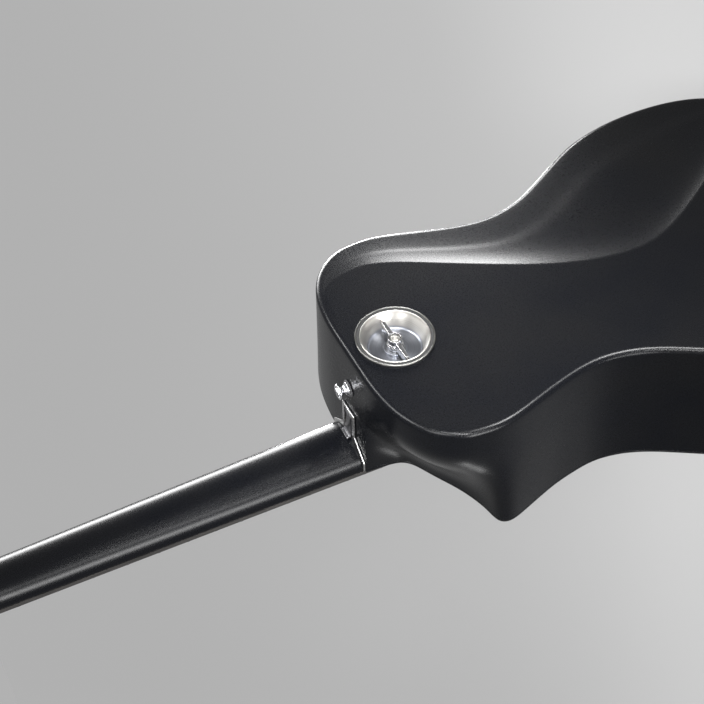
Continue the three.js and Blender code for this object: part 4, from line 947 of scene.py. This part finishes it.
def neck():
    end = 2.4
    rings = [[(x * 0.985, 0.15 + y * 0.985, z)
              for x, y, z in neck_section(end, neck_width(end) / 2, 0, LOW_THICK, OVAL)]]
    shape = mix(OVAL, BLUNT, 0.35)
    for share in np.concatenate([[0.0015], np.linspace(0.02, VOLUTE, 24)]):
        z = mix(end, NUT_Z, share)
        rings.append(neck_section(z, neck_width(z) / 2, 0, mix(LOW_THICK, TOP_THICK, share), OVAL))
    low, flat = mix(end, NUT_Z, VOLUTE), cos(TILT)
    wide = [(low, neck_width(low) / 2), (PIVOT_Z, NUT_WIDE / 2)]
    wide += [(PIVOT_Z + a * HEAD_LONG * flat, w * HEAD_HALF) for a, w in HEAD_WIDE]
    full, top = wide[2][0], wide[-1][0]
    for z in np.concatenate([np.linspace(low, PIVOT_Z, 9)[1:], np.linspace(PIVOT_Z, top, 64)[1:]]):
        if z <= PIVOT_Z:
            t = (z - low) / (PIVOT_Z - low)
            thick, square = mix(19.17, VOLUTE_THICK, t), mix(OVAL, shape, t)
        else:
            thick = mix(VOLUTE_THICK, HEAD_THICK / flat, smooth((z - PIVOT_Z) / (full - PIVOT_Z)))
            square = mix(shape, BLUNT, smooth((z - PIVOT_Z) / (HEAD_LONG * flat) * HEAD_LONG / 26 - 1))
        front = max(0.0, (z - PIVOT_Z) * tan(TILT))
        rings.append(neck_section(z, float(eased(wide, z)), front, thick, square))
    pocket = loft([[(u, y, v) for u, v in rounded_rect(7, 13, 5)] for y in (-3, 10)])
    bore = rod_shape(POST_R + SEAT + 1.3 + SEAT, -14.5, 29, 40)
    # Openings for the tenon, the truss rod and its nut, and the tuners
    piece("neck_blank", loft(rings), "neck", "satin_carbon", "neck", sharp=28, less=(
        box_shape(-8.3, 8.3, -3, 12.3, -3, 40.3), box_shape(-3.3, 3.3, -3, 9.6, 52, PIVOT_Z),
        on_head(moved(pocket, z=13)), together(*[on_head(moved(bore, x, 0, z)) for x, z, _ in TUNERS])))


def insert():
    profile = [(BOLT_BORE, 1.0)]
    for k in range(7):
        y = 1.4 + k * 1.35
        profile += [(6.3, y), (6.3, y + 0.7), (6.05, y + 0.9), (6.05, y + 1.15)]
    profile += [(6.2, 11.5), (6.0, 11.7), (BOLT_BORE, 11.7)]
    return in_lock(lathe(profile, 48, ring=True))


neck()
from_node("tenon", "neck_tenon", "neck", "brushed_steel", 0.4)
piece("insert", insert(), "neck", "brass", "threaded_insert")

# Fretboard with its camber, frets and dots


def board_y(x):
    return -SEAT - BOARD + x * x / (2 * CAMBER)


def fretboard():
    rings = []
    for z in np.linspace(BOARD_END, NUT_Z - SEAT, 40):
        half = neck_width(z) / 2
        edge = board_y(half)
        side = [(half - 0.12, edge + 0.15, z), (half, edge + 0.5, z), (half, -SEAT, z)]
        rings.append([(-x, y, z) for x, y, z in reversed(side)]
                     + [(x, board_y(x), z) for x in np.linspace(-half + 0.5, half - 0.5, 17)] + side)
    return loft(rings)


def fret(k):
    z = NUT_Z - below_nut(k)
    half, slope = neck_width(z) / 2 + 0.05, 1.4
    rings = []
    for x in np.concatenate([np.linspace(-half, -half + slope, 6), np.linspace(-half + 3, half - 3, 13),
                             np.linspace(half - slope, half, 6)]):
        rise = FRET_HIGH * (0.15 + 0.85 * sin(pi / 2 * min(1, (half - abs(x)) / slope)))
        base = board_y(x) + 0.25
        crown = [(x, y, w) for w, y in oval(z, base - 0.25, -FRET_HALF, -rise, 0.05, pi - 0.05, 9)]
        rings.append([(x, base, z - FRET_HALF)] + crown + [(x, base, z + FRET_HALF)])
    return loft(rings)


def between_frets(k):
    return NUT_Z - (below_nut(k) + below_nut(k - 1)) / 2


def dot(x, k):
    shape = lathe([(0, 0.6), (3, 0.6), (3, 0.02), (2.9, -0.05), (0, -0.06)], 40)
    return moved(shape, x, board_y(x), between_frets(k))


def side_dot(k):
    z = between_frets(k)
    shape = turned(lathe([(0, -0.6), (1, -0.6), (1, 0.02), (0.9, 0.06), (0, 0.06)], 24), "Z", 90)
    return moved(shape, -neck_width(z) / 2, -SEAT - BOARD * 0.5, z)


def nut():
    low = -NUT_HIGH - SEAT
    section = [(-SEAT, 0), (low + 0.5, 0), (low + 0.15, 0.15), (low, 0.5), (low, 2.4), (low + 0.35, 3.6),
               (low + 1.0, 4.6), (low + 1.6, NUT_LENGTH), (-SEAT, NUT_LENGTH)]
    rings = [[(x, y, NUT_Z + v) for y, v in section] for x in np.linspace(-NUT_WIDE / 2, NUT_WIDE / 2, 30)]
    made = bevelled(make("nut_bar", loft(rings)), 0.3, 2, 50)
    for n, r in enumerate(STRING_R):
        groove = turned(rod_shape(r + 0.06, -10, 10, 16), "X", 90)
        cut(made, moved(groove, string_x(n, NUT_SPREAD), -NUT_HIGH - SEAT * 2 - r + 0.28, NUT_Z + 2))
    finish(made, "neck", "white_bone", "nut", sharp=35)


def truss_cover():
    half, long = 11.0, 34.0
    middle = long / 2
    side = [(half * (1 - 0.65 * smooth((t - 0.35) / 0.65)), t * long) for t in np.linspace(0, 1, 25)]
    side += [(-x, z) for x, z in reversed(side)]
    rings = [[(x * (1 - inset / half), -SEAT - up, mix(middle, z, 1 - inset / middle)) for x, z in side]
             for up, inset in ((0, 0), (1.2, 0), (1.55, 0.15), (1.75, 0.4), (1.8, 0.8))]
    return on_head(loft(rings))


def small_screw(x, z, r=1.6, y=-SEAT - 1.8):
    profile = [(0, 0.3), (r, 0.3), (r, 0)] + oval(0, 0, r, -0.55, 0.2, pi / 2 - 0.05, 5) + [(0, -0.56)]
    made = make("s", moved(lathe(profile, 24), x, y, z))
    return cut(made, *[moved(bar, x, y, z) for bar in cross(r * 0.62, 0.18, -1, -0.2)])


piece("board", fretboard(), "neck", "black_composite", "fretboard", sharp=25)
piece("frets", together(*[fret(k + 1) for k in range(FRETS)]), "neck", "spring_steel")
piece("position_dots", together(*[dot(0, k) for k in (3, 5, 7, 9, 15, 17, 19)], dot(-11, 12), dot(11, 12)),
      "neck", "white_bone")
piece("side_dots", together(*[side_dot(k) for k in (3, 5, 7, 9, 12, 15, 17)]), "neck", "white_bone")
nut()
piece("rod_cover", truss_cover(), "neck", "black_composite", "truss_cover", sharp=40)
for k, (x, z) in enumerate(((-8, 4), (8, 4), (0, 31))):
    made = to_head(small_screw(x, z))
    made.name = f"cover_screw_{k + 1}"
    finish(made, "neck", "chrome")

# Tuners, made upright at the headstock's foot. Their cases carry bushing, sleeve and collar


def tuner_case(n, x, z, side):
    rings = []
    for up, inset in ((0, 0), (8.6, 0), (9.6, 0.25), (10.4, 0.8), (10.85, 1.6), (11, 2.6)):
        corner = 3 - min(inset, 2.2) * 0.6
        rings.append([(u, CASE_LOW + up, v) for u, v in rounded_rect(7 - inset, 9 - inset, corner)])
    bore, shaft_bore = POST_R + SEAT, 2.3
    case = cut(make("case", loft(rings)), rod_shape(bore, CASE_LOW - 3, CASE_LOW + 5, 40),
               moved(turned(rod_shape(shaft_bore, 3, 14, 32), "Z", -90 * side), y=SHAFT_Y))
    hexagon = [(6.2 * cos(a), 6.2 * sin(a)) for a in np.arange(6) * pi / 3 + pi / 6]
    rings = [[(u * s, y, v * s) for u, v in hexagon] for y, s in ((-0.75, 1), (-2.0, 1), (-2.3, 0.93))]
    bushing = cut(bevelled(make("hex", loft(rings)), 0.2), rod_shape(bore, -5, 3, 48))
    sleeve = lathe([(bore, -1.5), (4.6, -1.5), (4.6, CASE_LOW + 1.3), (bore, CASE_LOW + 1.3)], 48, ring=True)
    ring = lathe([(3.4, -0.3), (6.3, -0.3), (6.4, -0.45), (6.3, -0.7), (3.4, -0.7)], 64, ring=True)
    collar = lathe([(shaft_bore, 7.0), (3.6, 7.0), (3.6, 7.8), (3.3, 8.2), (shaft_bore, 8.2)], 40, ring=True)
    rest = make("w", together(sleeve, ring, moved(turned(collar, "Z", -90 * side), y=SHAFT_Y)))
    screw = small_screw(0, 6.0, 1.3, 0.0)
    screw.data.transform(Matrix.Translation((0, (CASE_LOW + 11.0) * MM, 0)) @ Matrix.Scale(-1, 4, (0, 1, 0)))
    screw.data.flip_normals()
    bm = bmesh.new()
    for part in (case, bushing, rest, screw):
        bm.from_mesh(part.data)
        bpy.data.objects.remove(part)
    finish(to_head(from_bmesh(f"tuner_case_{n}", bm), x, z), "neck", "chrome", f"tuner_housing_{n}")


def tuner_post(n, x, z):
    deep = CASE_LOW + 5 - SEAT
    profile = [(0, deep), (POST_R, deep), (POST_R, -3.4), (2.95, -3.8)]
    profile += [(2.78 + 0.17 * abs(2 * t - 1) ** 2, -POST_HIGH * mix(0.32, WAIST_TOP, t))
                for t in np.linspace(0, 1, 9)]
    profile += arc(2.75, -11.9, 0.4, 20, -70, 4) + [(2.55, -12.75), (2.2, -POST_HIGH), (0, -POST_HIGH)]
    post = make("post", lathe(profile, 48))
    cut(post, moved(turned(rod_shape(0.85, -8, 8, 20), "X", 90), y=-7.8))
    post.name = f"peg_{n}"
    finish(to_head(post, x, z), f"post_{n}", "chrome", f"tuner_post_{n}", sharp=35)


def tuner_knob(n, x, z, side):
    start = 7 + 9.5
    foot = [(start + u, v) for u, v in ((3.0, 6.2), (0.9, 4.4), (0, 3.2))]
    rim = oval(start + 4.56, 0, 7.44, 9, -pi / 2, pi / 2, 33)
    rim = np.array(rim + foot + [(u, -v) for u, v in reversed(foot)])
    centre = np.array([start + 6.2, 0])
    levels = []
    for t in np.linspace(0, pi, 13):
        scale = 1 - 1.9 * (1 - sin(t)) ** 1.2 / 8
        levels.append([(u, -3.6 * cos(t), v) for u, v in centre + (rim - centre) * scale])
    shaft = [(0, 3.3), (2, 3.3), (2, start - 2.2)] + arc(2.2, start - 1.4, 0.8, 270, 360, 4)
    shaft = turned(lathe(shaft + [(3.0, start + 0.6), (0, start + 0.6)], 32), "Z", -90)
    points, faces = moved(together(loft(levels), shaft), y=SHAFT_Y)
    if side < 0:
        points, faces = [(-a, b, c) for a, b, c in points], [tuple(reversed(f)) for f in faces]
    made = make(f"button_{n}", on_head(moved((points, faces), x, 0, z)))
    finish(made, f"knob_{n}", "chrome", f"tuner_knob_{n}", sharp=35)


for n, (x, z, side) in enumerate(TUNERS, 1):
    tuner_case(n, x, z, side)
    tuner_post(n, x, z)
    tuner_knob(n, x, z, side)

# Strings: over the saddle and the nut, round the post


def string_path(n):
    r = STRING_R[n]
    px, pz, side = TUNERS[n]
    wind, pitch = POST_R + SEAT + r, 2 * r + 0.5
    sx, low = pin_x(n), PIN_Z + 1.5
    path = [Vector((sx, y - SEAT, low + up))
            for y, up in ((-BRIDGE_HIGH + 3, 0), (-BRIDGE_HIGH - r * 0.6, r * 0.3),
                          (-BRIDGE_HIGH - SEAT - r, r))]
    over = Vector((sx, -SADDLE_STRING, SADDLE_Z))
    rest = Vector((string_x(n, NUT_SPREAD), -NUT_HIGH - SEAT * 2 - r, NUT_Z + 2.5))
    up, on = (over - path[-1]).normalized(), (rest - over).normalized()
    for t in np.linspace(-1, 1, 7):
        way = up if t < 0 else on
        path.append(over + way * (t * 1.2) + Vector((0, 0.10 * (1 - abs(t)), 0)))
    path += [over.lerp(rest, float(t)) for t in np.linspace(0.02, 0.98, 40)] + [rest]
    from_pivot = rest - Vector((0, 0, PIVOT_Z))
    dx = px - from_pivot.x
    dz = pz - (from_pivot.y * sin(TILT) + from_pivot.z * cos(TILT))
    begin = atan2(dz, dx) + pi - side * acos(wind / hypot(dx, dz))
    turns = oval(px, pz, wind, wind, begin, begin - side * 4 * pi, 81)
    heights = -POST_HIGH * WAIST_TOP + r + np.linspace(0, 2 * pitch, 81)
    return path + on_head(([(x, y, z) for (x, z), y in zip(turns, heights)], []))[0]


for n in range(6):
    slot = "bronze_wire" if n < 4 else "spring_steel"
    obj = finish(make(f"wire_{n + 1}", tube(string_path(n), STRING_R[n], 10)), None, slot, f"string_{n + 1}")
    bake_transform(obj)

# Floor and light

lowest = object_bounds()[0].z
PALE = 0.48
# Name, place, aim, size, watts and spread in degrees. The small ones with a narrow spread each light
# the faces that mirror them to the camera
LAMPS = [
    ("bass_side", (-0.62, 0.29, -0.78), (-0.05, 0.12, -0.42), (0.21, 0.21), 0.62, 50),
    ("bass_rim", (-0.88, -0.26, -0.70), (-0.12, 0.11, -0.48), (0.3, 0.3), 1.0, 40),
    ("bass_neck", (-1.28, 0.12, -0.30), (0, 0.02, -0.2), (0.5, 0.8), 7, 70),
    ("neck_end", (-0.20, 1.0, 0.42), (0.06, 0.118, -0.38), (0.8, 0.35), 2.2, 45),
    ("overhead", (0.39, 1.34, -0.2), (0, 0.11, -0.406), (0.25, 0.25), 0.3, 20),
    ("treble_low", (0.17, 0.82, -0.77), (0.12, 0.118, -0.52), (0.22, 0.2), 2.0, 60),
    ("cup_side", (1.05, 0.28, -0.70), (0, 0.115, -0.406), (0.25, 0.25), 0.12, 18),
    ("neck_side", (1.36, 0.30, -0.22), (0, 0.02, -0.12), (0.55, 0.8), 2.6, 35),
    ("heel_edge", (-0.72, 0.76, 0.36), (-0.03, 0.118, -0.363), (0.35, 0.2), 0.28, 22),
    ("corner", (0.85, 1.16, -0.27), (0.14, 0.118, -0.42), (0.4, 0.4), 0.7, 16),
    ("neck_high", (1.13, 1.0, -0.36), (0, 0.02, -0.15), (0.3, 0.6), 0.42, 35),
    ("front", (0.3, -1.9, -0.70), (0, 0, -0.76), (0.6, 0.6), 0.12, 20),
    ("high", (1.2, 1.5, 1.0), (0.05, 0.1, -0.4), (0.9, 0.9), 18, 100),
]


def seen_directly(tree):
    """1 for camera, glossy and transmission rays, 0 for the light that falls on things."""
    rays = node(tree, "LightPath").outputs
    either = calculated(tree, "MAXIMUM", rays["Is Camera Ray"], rays["Is Glossy Ray"])
    return calculated(tree, "MAXIMUM", either, rays["Is Transmission Ray"])


def make_stage():
    bm = bmesh.new()
    bmesh.ops.create_grid(bm, x_segments=8, y_segments=8, size=70)
    floor = from_bmesh("floor", bm)
    floor.location = (0, 0, lowest - 0.002)
    mat, tree, bsdf = shader("floor", (0.60, 0.60, 0.60), 0.9, specular=0.2)
    glow = node(tree, "Emission", Color=(PALE, PALE, PALE, 1), Strength=1.0)
    share = calculated(tree, "MULTIPLY", seen_directly(tree), 0.5)
    both = node(tree, "MixShader", {"Fac": share, 1: bsdf.outputs[0], 2: glow.outputs[0]})
    feed(tree, tree.nodes["Material Output"], {"Surface": both.outputs[0]})
    floor.data.materials.append(mat)


def make_world():
    world = bpy.data.worlds.new("world")
    bpy.context.scene.world = world
    world.use_nodes = True
    tree = world.node_tree
    tree.nodes.clear()
    seen = node(tree, "Background", Color=(PALE, PALE, PALE, 1), Strength=0.92)
    fill = node(tree, "Background", Color=(1, 1, 1, 1), Strength=0.65)
    both = node(tree, "MixShader",
                {"Fac": seen_directly(tree), 1: fill.outputs[0], 2: seen.outputs[0]})
    node(tree, "OutputWorld", {"Surface": both.outputs[0]})


make_stage()
make_world()
for name, at, aim, size, watts, spread in LAMPS:
    data = bpy.data.lights.new(name, "AREA")
    data.shape = "RECTANGLE"
    data.size, data.size_y = size
    data.energy, data.spread = watts, radians(spread)
    obj = added(name, data)
    obj.location = at
    obj.rotation_mode = "QUATERNION"
    obj.rotation_quaternion = (Vector(aim) - Vector(at)).to_track_quat("-Z", "Y")
    obj.visible_camera = False

bpy.context.scene.view_settings.view_transform = "Standard"
